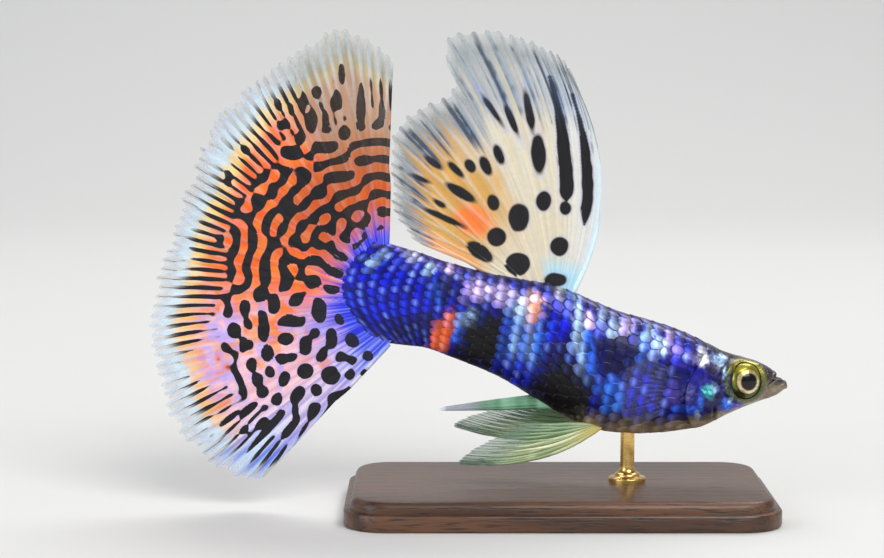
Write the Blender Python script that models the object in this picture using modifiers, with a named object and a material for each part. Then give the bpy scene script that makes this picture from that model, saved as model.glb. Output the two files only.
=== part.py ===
"""Fancy guppy, male, as a still life-size display model on a small stand.

Sizes are millimetres until at() turns them into metres. A place on the fish is given as
s, the way back from the snout along the body axis, y, the way to its left, and h, the
height above that axis. The fish looks along +X with its head tipped down.
"""

import math
from functools import partial

import bmesh
import bpy
from mathutils import Matrix, Vector

MM = 0.001
GAP = 0.25  # between pieces that touch

# Pose on the stand: the snout's place, the pitch of the body axis and the swing of the tail.
SNOUT_X = 15.75
SNOUT_Z = 9.06
PITCH = math.radians(12.4)
SWING_FROM = 14.0
SWING_LENGTH = 16.0
SWING = 0.45

# Body stations: s, top, bottom, half width, corner roundness (1 is an ellipse).
BODY = (
    (0.00, 0.05, -0.34, 0.42, 1.00),
    (0.35, 0.14, -0.76, 0.66, 1.00),
    (0.74, 0.18, -1.05, 0.86, 0.95),
    (0.90, 0.60, -1.16, 0.93, 0.90),
    (1.30, 0.82, -1.38, 1.12, 0.85),
    (2.00, 0.99, -1.90, 1.42, 0.82),
    (3.50, 1.11, -3.12, 1.84, 0.84),
    (5.00, 1.30, -4.32, 2.12, 0.90),
    (6.50, 1.73, -4.96, 2.28, 0.95),
    (8.00, 2.05, -5.46, 2.38, 0.97),
    (10.0, 2.28, -5.94, 2.40, 1.00),
    (12.5, 2.44, -6.12, 2.26, 1.00),
    (15.0, 2.90, -5.54, 2.04, 1.00),
    (17.0, 3.27, -4.85, 1.82, 1.00),
    (19.6, 3.20, -3.98, 1.56, 1.00),
    (22.5, 3.10, -3.44, 1.28, 1.00),
    (25.5, 3.24, -3.10, 1.00, 0.98),
    (28.3, 3.46, -3.20, 0.70, 0.90),
    (30.7, 3.60, -3.36, 0.42, 0.80),
)
WIDEST = 0.42  # how far down its height a section is widest
HEAD_STEP = 0.40
TRUNK_STEP = 0.95
SECTION_POINTS = 28

# The stalk's end is a curve in side view, furthest back at TAIL_END.
TAIL_END = 30.7
TAIL_MIDDLE = 0.37
TAIL_CURVE_ABOVE = 0.144
TAIL_CURVE_BELOW = 0.216
TAIL_CURVE_FROM = 23.0

# Cuts between head, trunk and stalk. The gill cover's edge is an arc in side view.
GILL_EDGE = ((1.9, 5.70), (0.6, 6.25), (-1.2, 6.80), (-2.6, 6.75), (-3.9, 6.10), (-5.4, 4.60))
STALK_CUT = 21.6
GILL_SWELL = 0.14
CUT_REACH = 9.0  # above and below the axis
CUT_WIDTH = 12.0
CUT_BEFORE = -4.0
CUT_BEHIND = 36.0

# Eye: a flat ball in a socket, facing a little forwards and up.
EYE_S = 2.89
EYE_H = -0.36
EYE_RADIUS = 1.26
EYE_HALF_DEPTH = 0.80
EYE_OUT = 1.20
EYE_CLEAR = 0.20
EYE_FORWARD = 17.0
EYE_UP = 6.0
PUPIL_RADIUS = 0.54
PUPIL_DOME = 0.10

# Mouth: opens upwards, the lower jaw longer than the upper.
GAPE_FRONT = (0.79, 0.20)
GAPE_CORNER = (1.36, -0.46)
GAPE_SLIT = 0.13
GAPE_OPEN = 0.6  # how far the slit is cut on past its front
LIP_RADIUS = 0.15
UPPER_LIP = ((1.30, 0.98, -0.26), (0.98, 0.90, 0.16), (0.84, 0.52, 0.42), (0.83, 0.00, 0.44))
LOWER_LIP = ((1.16, 0.96, -0.46), (0.72, 0.80, -0.02), (0.28, 0.52, 0.02), (0.14, 0.00, -0.02))
NOSTRIL = (1.45, 0.90, 0.58)
NOSTRIL_RADIUS = 0.16

# Fin thickness at root, middle and edge, the ridge that each ray raises, and the edge's scallops.
FIN_ROOT = 0.60
FIN_WEB = 0.50
FIN_EDGE = 0.26
RAY_RIDGE = 0.16
FORK_LENGTH = 0.12  # either way of the fork, as a share of the ray
SCALLOP = 0.30

# Tail fin: fan centre, angles above the axis at the first and last ray's tip, and tip radii.
FAN_CENTRE = (28.03, 0.37)
FAN_EDGE_ANGLES = (76.9, -67.3)
FAN_EDGE_RADII = (
    (0.00, 16.0),
    (0.07, 18.3),
    (0.17, 17.8),
    (0.27, 17.4),
    (0.43, 16.2),
    (0.52, 16.2),
    (0.64, 17.0),
    (0.74, 17.7),
    (0.88, 17.9),
    (1.00, 16.6),
)
FAN_RAYS = 17
FAN_ROWS = 14
FAN_FORK = 0.38
FAN_WAVE = 0.75
FAN_WAVES = 1.6
FAN_CURL = 2.2
FAN_CURL_TO = 0.34

# Dorsal fin rays: place along the root, angle above the axis, length, forward bow.
DORSAL_ROOT = ((15.95, 2.75), (20.30, 2.85))
DORSAL = (
    (0.00, 77.5, 15.5, 2.10),
    (0.10, 74.6, 16.9, 1.80),
    (0.20, 69.4, 17.9, 1.50),
    (0.30, 63.0, 18.7, 1.15),
    (0.38, 56.6, 18.8, 0.90),
    (0.43, 54.2, 17.4, 0.80),
    (0.47, 54.4, 15.3, 0.70),
    (0.58, 43.8, 14.9, 0.50),
    (0.65, 36.9, 14.3, 0.40),
    (0.72, 30.6, 12.9, 0.30),
    (0.80, 25.0, 11.2, 0.25),
    (0.88, 18.6, 10.1, 0.15),
    (1.00, 9.5, 7.0, 0.00),
)
DORSAL_RAYS = 9
DORSAL_ROWS = 12
DORSAL_FORK = 0.36
DORSAL_WAVE = 0.55
DORSAL_WAVES = 1.3

# Paired fins: rays as (place along the root, angle above the axis, length, bow).
PECTORAL_ROOT = ((7.05, -1.15), (7.30, -2.75))
PECTORAL = ((0.0, 14.0, 4.6, 0.30), (0.3, 2.0, 5.4, 0.15), (0.7, -18.0, 5.0, 0.0), (1.0, -36.0, 3.6, -0.2))
PECTORAL_RAYS = 9
PECTORAL_ROWS = 7
PECTORAL_SPREAD = 34.0
PECTORAL_SINK = 0.9
PECTORAL_CUP = 0.35
PELVIC_START = (11.55, -5.35)
PELVIC_ROOT = ((0.0, 0.0), (1.2, 0.1))
PELVIC = ((0.0, 0.0, 10.6, -1.15), (0.3, 2.5, 9.8, -0.85), (0.65, 9.0, 6.9, -0.35), (1.0, 18.0, 4.4, 0.0))
PELVIC_RAYS = 5
PELVIC_ROWS = 9
PELVIC_SIDE = 0.55
PELVIC_SPREAD = 9.0
PELVIC_FLARE = 0.35
PELVIC_DROP = {"right": 27.0, "left": 17.0}
NO_FORK = 2.0

# Anal fin: the slim rod that a male carries, with a low web along its first half.
ANAL_ROOT = (15.4, -4.9)
ANAL_ANGLE = -16.0
ANAL = ((0.0, 0.75, 0.42), (0.25, 0.62, 0.38), (0.5, 0.50, 0.32), (0.8, 0.30, 0.27), (1.0, 0.16, 0.16))
ANAL_LENGTH = 8.1
ANAL_UNDER = 0.55  # its depth below its line, as a share of that above
ANAL_STEPS = 12
ANAL_POINTS = 10

# Stand: a plinth, and one rod up to the belly with a collar at its foot.
BASE_LENGTH = 30.0
BASE_WIDTH = 17.0
BASE_HEIGHT = 2.0
BASE_CORNER = 3.0
BASE_BEVEL = 0.35
ROD_RADIUS = 0.50
ROD_S = 9.9
ROD_SUNK = 1.0  # into the belly, before it is cut back clear of it
COLLAR_RADIUS = 1.30
COLLAR_HEIGHT = 0.55


def eased(table, x, column=1):
    """The value in a column of a table of sizes at x, on a smooth curve through its rows."""
    last = len(table) - 1
    i = max(k for k in range(last) if k == 0 or table[k][0] <= x)
    span = table[i + 1][0] - table[i][0]
    t = min(max((x - table[i][0]) / span, 0.0), 1.0)

    def slope(k):
        low, high = max(k - 1, 0), min(k + 1, last)
        return (table[high][column] - table[low][column]) / (table[high][0] - table[low][0])

    start, end = table[i][column], table[i + 1][column]
    leave, arrive = slope(i) * span, slope(i + 1) * span
    return (
        (2 * t**3 - 3 * t**2 + 1) * start
        + (t**3 - 2 * t**2 + t) * leave
        + (3 * t**2 - 2 * t**3) * end
        + (t**3 - t**2) * arrive
    )


def between(a, b, t):
    return a + (b - a) * t


def smoothstep(low, high, x):
    t = min(max((x - low) / (high - low), 0.0), 1.0)
    return t * t * (3 - 2 * t)


def at(s, y, h):
    """A place on the fish, as a world point in metres in its pose on the stand."""
    swing = SWING * max(0.0, (s - SWING_FROM) / SWING_LENGTH) ** 2
    x = SNOUT_X - s * math.cos(PITCH) + h * math.sin(PITCH)
    z = SNOUT_Z + s * math.sin(PITCH) + h * math.cos(PITCH)
    return Vector((x, y + swing, z)) * MM


def turned(angle, axis):
    """A turn of a fish-frame vector (back, left, up) about one of its axes, in degrees."""
    return Matrix.Rotation(math.radians(angle), 3, axis)


def gill_edge(h):
    """How far back the gill cover's edge lies at height h."""
    return eased(tuple(sorted(GILL_EDGE)), h)


def stalk_curve(h):
    return TAIL_CURVE_ABOVE if h > TAIL_MIDDLE else TAIL_CURVE_BELOW


def stalk_pull(h):
    """How far forward of its hindmost place the stalk's end lies at height h."""
    return stalk_curve(h) * (h - TAIL_MIDDLE) ** 2


def body_point(s, angle, grow=0.0):
    """The body's surface at station s, at an angle round the section from its left side up."""
    top, bottom = eased(BODY, s) + grow, eased(BODY, s, 2) - grow
    width, power = eased(BODY, s, 3) + grow, eased(BODY, s, 4)
    middle = top - WIDEST * (top - bottom)
    c, q = math.cos(angle), math.sin(angle)
    y = width * math.copysign(abs(c) ** power, c)
    h = middle + (top - middle if q > 0 else middle - bottom) * math.copysign(abs(q) ** power, q)
    swell = smoothstep(2.9, 6.0, s) * smoothstep(0.3, 0.0, s - gill_edge(h)) * abs(c) ** 0.5
    y += math.copysign(GILL_SWELL * swell, c)
    return s - smoothstep(TAIL_CURVE_FROM, TAIL_END, s) * stalk_pull(h), y, h


def as_mesh(bm, name, smooth=True):
    """A mesh from a bmesh, with its faces turned out, shaded smooth or flat."""
    bmesh.ops.recalc_face_normals(bm, faces=bm.faces)
    mesh = bpy.data.meshes.new(name)
    bm.to_mesh(mesh)
    bm.free()
    if smooth:
        mesh.shade_smooth()
    return mesh


def loft(name, sections):
    """A closed skin through sections of (s, y, h) places, all with one even count of places."""
    bm = bmesh.new()
    rings = [[bm.verts.new(at(*place)) for place in section] for section in sections]
    count = len(rings[0])
    for front, back in zip(rings, rings[1:]):
        for k in range(count):
            j = (k + 1) % count
            bm.faces.new((front[k], front[j], back[j], back[k]))
    for ring in (rings[0], rings[-1]):
        for k in range(count // 2 - 1):
            across = count - 1 - k
            bm.faces.new((ring[k], ring[k + 1], ring[across - 1], ring[across]))
    return as_mesh(bm, name)


def body_stations():
    """Where the body's rings lie: close on the head, where the mouth steps, and wider behind."""
    stations = [0.0, 0.16, 0.40, 0.74, 0.86]
    while stations[-1] < 7.2:
        stations.append(stations[-1] + HEAD_STEP)
    while stations[-1] < TAIL_END - TRUNK_STEP * 1.5:
        stations.append(stations[-1] + TRUNK_STEP)
    return stations + [TAIL_END]


def body_mesh(name, grow=0.0):
    """The whole fish without fins as one loft of unlike sections, grown by a clearance."""
    angles = [2 * math.pi * (k + 0.5) / SECTION_POINTS - math.pi / 2 for k in range(SECTION_POINTS)]
    return loft(name, [[body_point(s, angle, grow) for angle in angles] for s in body_stations()])


def material(name, colour, roughness, metallic=0.0, alpha=1.0):
    made = bpy.data.materials.new(name)
    made.use_nodes = True
    shader = made.node_tree.nodes["Principled BSDF"]
    shader.inputs["Base Color"].default_value = (*colour, 1.0)
    shader.inputs["Roughness"].default_value = roughness
    shader.inputs["Metallic"].default_value = metallic
    shader.inputs["Alpha"].default_value = alpha
    return made


def add(name, mesh, collection, finish=None):
    obj = bpy.data.objects.new(name, mesh)
    collection.objects.link(obj)
    if finish:
        mesh.materials.append(finish)
    return obj


def add_cutter(name, mesh, collection):
    obj = add(name, mesh, collection)
    obj.hide_render = True
    obj.display_type = "WIRE"
    return obj


def cut(obj, *cutters, solver="EXACT"):
    for cutter in cutters:
        modifier = obj.modifiers.new("Cut " + cutter.name, "BOOLEAN")
        modifier.operation = "DIFFERENCE"
        modifier.solver = solver
        modifier.object = cutter


def prism(name, outline, half_width):
    """A closed prism across the fish on an outline of (s, h) points, which runs one way round."""
    bm = bmesh.new()
    sides = [[bm.verts.new(at(s, y, h)) for s, h in outline] for y in (-half_width, half_width)]
    count = len(outline)
    bm.faces.new(sides[0])
    bm.faces.new(list(reversed(sides[1])))
    for k in range(count):
        j = (k + 1) % count
        bm.faces.new((sides[0][k], sides[1][k], sides[1][j], sides[0][j]))
    return as_mesh(bm, name, smooth=False)


def behind(name, edge):
    """A block that takes all behind an edge of (s, h) points."""
    ends = [(CUT_BEHIND, edge[-1][1]), (CUT_BEHIND, edge[0][1])]
    return prism(name, edge + ends, CUT_WIDTH / 2)


def before(name, edge):
    """A block that takes all before an edge, moved back by the gap."""
    moved = [(s + GAP, h) for s, h in edge]
    ends = [(CUT_BEFORE, edge[-1][1]), (CUT_BEFORE, edge[0][1])]
    return prism(name, moved + ends, CUT_WIDTH / 2)


def gill_line():
    """The gill cover's edge as points from top to bottom, straight on past its arc."""
    steps = 14
    heights = [between(CUT_REACH, -CUT_REACH, k / steps) for k in range(steps + 1)]
    highest, lowest = GILL_EDGE[0][0], GILL_EDGE[-1][0]
    return [(gill_edge(min(max(h, lowest), highest)), h) for h in heights]


def ball(name, centre, radii, turn=None, segments=24, rings=12, dome=0.0):
    """A ball stretched to three radii, with a low dome on its first pole, turned and set in place."""
    bm = bmesh.new()
    bmesh.ops.create_uvsphere(bm, u_segments=segments, v_segments=rings, radius=1.0)
    for vert in bm.verts:
        local = Vector(vert.co[i] * radii[i] for i in range(3))
        if vert.co.z > 0:
            away = math.hypot(local.x, local.y)
            local.z += dome * smoothstep(PUPIL_RADIUS * 1.15, PUPIL_RADIUS * 0.75, away)
        if turn:
            local = turn @ local
        vert.co = at(centre[0] + local.x, centre[1] + local.y, centre[2] + local.z)
    return as_mesh(bm, name)


def eye_turn(side):
    """The ball's poles lie along its depth, which is turned out, forwards and up."""
    return turned(EYE_UP * side, "X") @ turned(EYE_FORWARD * side, "Z") @ turned(-90 * side, "X")


def eye_mesh(name, side, grow=0.0, dome=PUPIL_DOME):
    """An eye: a flat ball whose pupil stands a little proud in the middle of its outer face."""
    radius, depth = EYE_RADIUS + grow, EYE_HALF_DEPTH + grow
    centre = (EYE_S, side * EYE_OUT, EYE_H)
    return ball(name, centre, (radius, radius, depth), eye_turn(side), 20, 14, dome)


def lip(name, half, collection):
    """A lip: a tube round the front of a jaw, through half its places and their mirror images."""
    curve = bpy.data.curves.new(name, "CURVE")
    curve.dimensions = "3D"
    curve.bevel_depth = LIP_RADIUS * MM
    curve.bevel_resolution = 1
    curve.resolution_u = 3
    curve.use_fill_caps = True
    places = list(half) + [(s, -y, h) for s, y, h in reversed(half[:-1])]
    spline = curve.splines.new("NURBS")
    spline.points.add(len(places) - 1)
    spline.use_endpoint_u = True
    spline.order_u = 3
    for point, place in zip(spline.points, places):
        point.co = (*at(*place), 1.0)
    guide = bpy.data.objects.new(name, curve)
    collection.objects.link(guide)
    bpy.context.view_layer.update()
    graph = bpy.context.evaluated_depsgraph_get()
    mesh = bpy.data.meshes.new_from_object(guide.evaluated_get(graph))
    bpy.data.objects.remove(guide)
    bm = bmesh.new()
    bm.from_mesh(mesh)
    bmesh.ops.remove_doubles(bm, verts=bm.verts, dist=1e-6)
    bm.to_mesh(mesh)
    bm.free()
    return mesh


def ray_ridge(u, v, rays, fork):
    """How high a ray stands at a place on the web, 0 to 1. Past the fork each ray is two."""
    along = (u * (rays - 1)) % 1.0
    along = min(along, 1.0 - along)
    opened = smoothstep(fork - FORK_LENGTH, fork + FORK_LENGTH, v)
    single = max(0.0, 1.0 - along * 6)
    double = max(0.0, 1.0 - abs(along - 0.25) * 7)
    return between(single, double, opened)


def ray_shift(u, v, rays, fork):
    """Moves the two columns each side of a forked ray out onto its branches."""
    place = u * (rays - 1)
    whole = round(place)
    side = place - whole
    opened = smoothstep(fork - FORK_LENGTH, fork + FORK_LENGTH, v)
    if abs(abs(side) - 1 / 6) < 0.02:
        side = math.copysign(between(1 / 6, 0.25, opened), side)
    elif abs(abs(side) - 1 / 3) < 0.02:
        side = math.copysign(between(1 / 3, 0.38, opened), side)
    return min(max((whole + side) / (rays - 1), 0.0), 1.0)


def fin_sheet(name, place, rays, rows, columns_per_ray, fork, collection, finish):
    """A ridged fin: an open sheet laid out by place(u, v, ridge), then thickened round its middle."""
    bm = bmesh.new()
    columns = (rays - 1) * columns_per_ray
    bmesh.ops.create_grid(bm, x_segments=columns, y_segments=rows, size=0.5)
    group = bm.verts.layers.deform.verify()
    full = FIN_ROOT + RAY_RIDGE
    for vert in bm.verts:
        v = vert.co.y + 0.5
        u = ray_shift(vert.co.x + 0.5, v, rays, fork)
        ridge = ray_ridge(u, v, rays, fork)
        web = between(FIN_ROOT, FIN_WEB, smoothstep(0.0, 0.2, v))
        web = between(web, FIN_EDGE, smoothstep(0.72, 1.0, v))
        rise = RAY_RIDGE * ridge * (1 - smoothstep(0.85, 1.0, v) * 0.6)
        vert[group][0] = (web + rise) / full
        vert.co = place(u, v, ridge)
    obj = add(name, as_mesh(bm, name, smooth=False), collection, finish)
    obj.vertex_groups.new(name="thickness")
    split = obj.modifiers.new("Split", "TRIANGULATE")
    split.quad_method = "FIXED"
    solid = obj.modifiers.new("Thickness", "SOLIDIFY")
    solid.thickness = full * MM
    solid.offset = 0.0
    solid.vertex_group = "thickness"
    return obj


def tail_point(u, v, ridge):
    """The tail fin: rays from the stalk's curved end out to a half-moon edge, in soft waves."""
    height = between(eased(BODY, TAIL_END), eased(BODY, TAIL_END, 2), u)
    behind_end = Vector((1.0, 2 * stalk_curve(height) * (height - TAIL_MIDDLE))).normalized()
    root = Vector((TAIL_END - stalk_pull(height), height)) + behind_end * GAP
    radius = eased(FAN_EDGE_RADII, u) + SCALLOP * (ridge - 0.5)
    angle = math.radians(between(*FAN_EDGE_ANGLES, u))
    edge = Vector(FAN_CENTRE) + Vector((math.cos(angle), math.sin(angle))) * radius
    flat = root.lerp(edge, v)
    wave = FAN_WAVE * v**1.6 * math.sin(2 * math.pi * (FAN_WAVES * u + 0.15) + 1.2 * v)
    curl = FAN_CURL * v**2 * max(0.0, 1 - u / FAN_CURL_TO) ** 2
    return at(flat.x, wave + curl, flat.y)


def ray_point(root, rays, u, v, ridge):
    """A place on a rayed fin as (back, up), from its root line and its table of rays."""
    angle = math.radians(eased(rays, u))
    length = eased(rays, u, 2) + SCALLOP * (ridge - 0.5)
    bow = eased(rays, u, 3)
    along = Vector((math.cos(angle), math.sin(angle)))
    across = Vector((-along.y, along.x))
    start = Vector(root[0]).lerp(Vector(root[1]), u)
    return start + along * length * v + across * bow * 4 * v * (1 - v)


def dorsal_point(u, v, ridge):
    flat = ray_point(DORSAL_ROOT, DORSAL, u, v, ridge)
    wave = DORSAL_WAVE * v**1.5 * math.sin(2 * math.pi * (DORSAL_WAVES * u + 0.1))
    return at(flat.x, wave, flat.y)


def pectoral_point(side, u, v, ridge):
    """A paired fin behind the gill cover, its root sunk in the flank and its fan spread out."""
    flat = ray_point(PECTORAL_ROOT, PECTORAL, u, v, ridge)
    start = between(PECTORAL_ROOT[0][0], PECTORAL_ROOT[1][0], u)
    back = (flat.x - start) * math.cos(math.radians(PECTORAL_SPREAD))
    out = (flat.x - start) * math.sin(math.radians(PECTORAL_SPREAD))
    out += PECTORAL_CUP * v**2 * math.sin(math.pi * u)
    root = eased(BODY, PECTORAL_ROOT[0][0], 3) - PECTORAL_SINK
    return at(start + back, side * (root + out), flat.y)


def pelvic_point(side, drop, u, v, ridge):
    """A paired belly fin with long first rays, laid back, down and a little out."""
    flat = ray_point(PELVIC_ROOT, PELVIC, u, v, ridge)
    low = turned(drop, "Y") @ Vector((flat.x, 0.0, flat.y))
    out = PELVIC_SIDE + math.tan(math.radians(PELVIC_SPREAD)) * low.x + PELVIC_FLARE * (1 - u) * v
    return at(PELVIC_START[0] + low.x, side * out, PELVIC_START[1] + low.z)


def anal_mesh(name):
    """The anal fin as a tapered rod, deeper than wide, closed at both ends."""
    lean = turned(-ANAL_ANGLE, "Y")
    sections = []
    for k in range(ANAL_STEPS + 1):
        t = k / ANAL_STEPS
        tall, wide = eased(ANAL, t), eased(ANAL, t, 2)
        section = []
        for j in range(ANAL_POINTS):
            turn = 2 * math.pi * (j + 0.5) / ANAL_POINTS - math.pi / 2
            rise = tall * math.sin(turn) * (1.0 if math.sin(turn) > 0 else ANAL_UNDER)
            place = lean @ Vector((ANAL_LENGTH * t, 0.0, rise))
            section.append((ANAL_ROOT[0] + place.x, wide * math.cos(turn), ANAL_ROOT[1] + place.z))
        sections.append(section)
    return loft(name, sections)


def make_flesh(parts, cutters, skin):
    """Head, trunk and stalk: one loft parted by two thin cuts, then the head's openings."""
    shape = body_mesh("body")
    shape.materials.append(skin)
    gill = gill_line()
    stalk = [(STALK_CUT, CUT_REACH), (STALK_CUT, -CUT_REACH)]
    head = add("head", shape, parts)
    trunk = add("trunk", shape.copy(), parts)
    tail_stalk = add("tail_stalk", shape.copy(), parts)
    cuts = (
        (head, "behind gills", behind, gill),
        (trunk, "before gills", before, gill),
        (trunk, "behind trunk", behind, stalk),
        (tail_stalk, "before stalk", before, stalk),
    )
    for obj, name, block, edge in cuts:
        cut(obj, add_cutter(name, block(name, edge), cutters))
    return head


def make_mouth(head, cutters):
    """The gape as a slit down and back from the notch, lips along it, and two nostrils."""
    (s0, h0), (s1, h1) = GAPE_FRONT, GAPE_CORNER
    along = Vector((s1 - s0, h1 - h0)).normalized()
    across = Vector((-along.y, along.x)) * GAPE_SLIT / 2
    front = Vector(GAPE_FRONT) - along * GAPE_OPEN
    corner = Vector(GAPE_CORNER)
    slit = prism("gape", [front + across, corner + across, corner - across, front - across], 2.0)
    lips = bpy.data.collections.new("lips")
    bpy.context.scene.collection.children.link(lips)
    for name, half in (("upper lip", UPPER_LIP), ("lower lip", LOWER_LIP)):
        add(name, lip(name, half, lips), lips)
    join = head.modifiers.new("Lips", "BOOLEAN")
    join.operation = "UNION"
    join.operand_type = "COLLECTION"
    join.collection = lips
    cut(head, add_cutter("gape", slit, cutters))
    for side, word in ((-1, "right"), (1, "left")):
        place = (NOSTRIL[0], side * NOSTRIL[1], NOSTRIL[2])
        pit = ball("nostril " + word, place, (NOSTRIL_RADIUS,) * 3, None, 10, 6)
        cut(head, add_cutter("nostril " + word, pit, cutters))
    return lips


def apply_modifiers(obj):
    """Fixes an object's evaluated shape as its own mesh, largest closed surface only."""
    bpy.context.view_layer.update()
    graph = bpy.context.evaluated_depsgraph_get()
    mesh = bpy.data.meshes.new_from_object(obj.evaluated_get(graph))
    obj.modifiers.clear()
    obj.data = mesh
    bm = bmesh.new()
    bm.from_mesh(mesh)
    bm.verts.ensure_lookup_table()
    seen, pieces = set(), []
    for vert in bm.verts:
        if vert in seen:
            continue
        piece, queue = [], [vert]
        seen.add(vert)
        while queue:
            here = queue.pop()
            piece.append(here)
            for edge in here.link_edges:
                other = edge.other_vert(here)
                if other not in seen:
                    seen.add(other)
                    queue.append(other)
        pieces.append(piece)
    pieces.sort(key=len, reverse=True)
    for scrap in pieces[1:]:
        bmesh.ops.delete(bm, geom=scrap, context="VERTS")
    bm.to_mesh(mesh)
    bm.free()


def make_eyes(head, parts, cutters, finish):
    for side, word in ((-1, "right"), (1, "left")):
        socket = eye_mesh("socket " + word, side, EYE_CLEAR, dome=0.0)
        cut(head, add_cutter("socket " + word, socket, cutters))
        add("eye_" + word, eye_mesh("eye_" + word, side), parts, finish)


def make_fins(parts, clearance, finishes):
    """All fins. Those along the body start inside it and are cut back clear of it."""
    fan, clear = finishes
    fin_sheet("tail_fin", tail_point, FAN_RAYS, FAN_ROWS, 6, FAN_FORK, parts, fan)
    dorsal = fin_sheet("dorsal_fin", dorsal_point, DORSAL_RAYS, DORSAL_ROWS, 6, DORSAL_FORK, parts, fan)
    cut(dorsal, clearance, solver="MANIFOLD")
    for side, word in ((-1, "right"), (1, "left")):
        pectoral = partial(pectoral_point, side)
        pelvic = partial(pelvic_point, side, PELVIC_DROP[word])
        sizes = (
            ("pectoral_fin_" + word, pectoral, PECTORAL_RAYS, PECTORAL_ROWS, 2),
            ("pelvic_fin_" + word, pelvic, PELVIC_RAYS, PELVIC_ROWS, 3),
        )
        for size in sizes:
            cut(fin_sheet(*size, NO_FORK, parts, clear), clearance, solver="MANIFOLD")
    anal = add("anal_fin", anal_mesh("anal_fin"), parts, clear)
    cut(anal, clearance, solver="MANIFOLD")


def make_base(parts, wood):
    """The plinth: a box with round corners and a soft top edge."""
    bm = bmesh.new()
    bmesh.ops.create_cube(bm, size=1.0)
    for vert in bm.verts:
        vert.co = vert.co * Vector((BASE_LENGTH, BASE_WIDTH, BASE_HEIGHT)) * MM
        vert.co.z += BASE_HEIGHT * MM / 2
    upright = [e for e in bm.edges if abs(e.verts[0].co.z - e.verts[1].co.z) > MM]
    bmesh.ops.bevel(bm, geom=upright, offset=BASE_CORNER * MM, segments=6, profile=0.5, affect="EDGES")
    top = [e for e in bm.edges if min(v.co.z for v in e.verts) > (BASE_HEIGHT - 0.01) * MM]
    bmesh.ops.bevel(bm, geom=top, offset=BASE_BEVEL * MM, segments=2, profile=0.5, affect="EDGES")
    add("stand_base", as_mesh(bm, "stand_base", smooth=False), parts, wood)


def make_rod(parts, clearance, metal):
    """The rod with its collar: a turned profile from the belly down to just above the plinth."""
    foot = at(ROD_S, 0.0, eased(BODY, ROD_S, 2))
    low, high = BASE_HEIGHT + GAP, foot.z / MM + ROD_SUNK
    profile = (
        (0.0, high),
        (ROD_RADIUS, high),
        (ROD_RADIUS, low + COLLAR_HEIGHT * 1.6),
        (ROD_RADIUS * 1.5, low + COLLAR_HEIGHT),
        (COLLAR_RADIUS, low + COLLAR_HEIGHT * 0.7),
        (COLLAR_RADIUS, low),
        (0.0, low),
    )
    mesh = bpy.data.meshes.new("stand_rod")
    points = [(radius * MM, 0.0, z * MM) for radius, z in profile]
    mesh.from_pydata(points, [(k, k + 1) for k in range(len(points) - 1)], [])
    rod = add("stand_rod", mesh, parts, metal)
    rod.location = (foot.x, foot.y, 0.0)
    screw = rod.modifiers.new("Turn", "SCREW")
    screw.steps = screw.render_steps = 20
    screw.use_merge_vertices = True
    screw.merge_threshold = 1e-6
    cut(rod, clearance)


def main():
    for obj in list(bpy.data.objects):
        bpy.data.objects.remove(obj)
    parts = bpy.data.collections.new("guppy")
    cutters = bpy.data.collections.new("cutters")
    for collection in (parts, cutters):
        bpy.context.scene.collection.children.link(collection)
    skin = material("iridescent skin", (0.06, 0.10, 0.55), 0.30, 0.35)
    eye = material("eye", (0.62, 0.52, 0.20), 0.12)
    fan = material("patterned fin", (0.85, 0.42, 0.16), 0.40)
    clear = material("clear fin", (0.62, 0.68, 0.52), 0.35, 0.0, 0.6)
    wood = material("dark wood", (0.055, 0.028, 0.016), 0.45)
    metal = material("brass", (0.72, 0.53, 0.25), 0.30, 1.0)

    clearance = add_cutter("body clearance", body_mesh("body clearance", GAP), cutters)
    head = make_flesh(parts, cutters, skin)
    lips = make_mouth(head, cutters)
    make_eyes(head, parts, cutters, eye)
    make_fins(parts, clearance, (fan, clear))
    make_base(parts, wood)
    make_rod(parts, clearance, metal)
    for obj in parts.objects:
        if obj.modifiers:
            apply_modifiers(obj)
    for helper in (*cutters.objects, *lips.objects):
        bpy.data.objects.remove(helper)
    for collection in (cutters, lips):
        bpy.data.collections.remove(collection)


main()
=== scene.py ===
"""The looks of a life-size fancy guppy on its display stand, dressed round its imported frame.

Sizes are in millimetres unless a name says otherwise. Places on the fish are (s, y, h): back
from the snout along its axis, out to its left, and up. The fish's marks are placed by pixels
of the photograph, which shows 0.07 mm of it in each.
"""

import math
from collections import namedtuple

import bpy
import numpy as np
from mathutils import Matrix, Vector


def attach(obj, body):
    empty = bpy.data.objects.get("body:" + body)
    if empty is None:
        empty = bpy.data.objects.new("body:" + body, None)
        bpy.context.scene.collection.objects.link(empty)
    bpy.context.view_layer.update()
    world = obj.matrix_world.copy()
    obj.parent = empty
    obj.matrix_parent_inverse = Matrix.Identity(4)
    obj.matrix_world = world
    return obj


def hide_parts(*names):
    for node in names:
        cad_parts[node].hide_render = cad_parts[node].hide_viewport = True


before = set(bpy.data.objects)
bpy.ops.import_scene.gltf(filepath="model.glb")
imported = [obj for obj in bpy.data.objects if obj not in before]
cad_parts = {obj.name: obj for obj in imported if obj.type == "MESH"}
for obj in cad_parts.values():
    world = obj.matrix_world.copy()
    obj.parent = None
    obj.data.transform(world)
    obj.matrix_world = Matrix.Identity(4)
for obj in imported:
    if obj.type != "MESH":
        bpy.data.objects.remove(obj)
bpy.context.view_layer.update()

MM = 0.001
SIDES = ((-1, "right"), (1, "left"))

# The pose on the stand, as in the solids
SNOUT_X = 15.75
SNOUT_Z = 9.06
PITCH = math.radians(12.4)
SWING_FROM = 14.0
SWING_LENGTH = 16.0
SWING = 0.45

# The photograph's scale and the pixel that shows the middle of the base's underside
PIXEL = 0.07
PHOTO_X = 560.0
PHOTO_Y = 512.43

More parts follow.
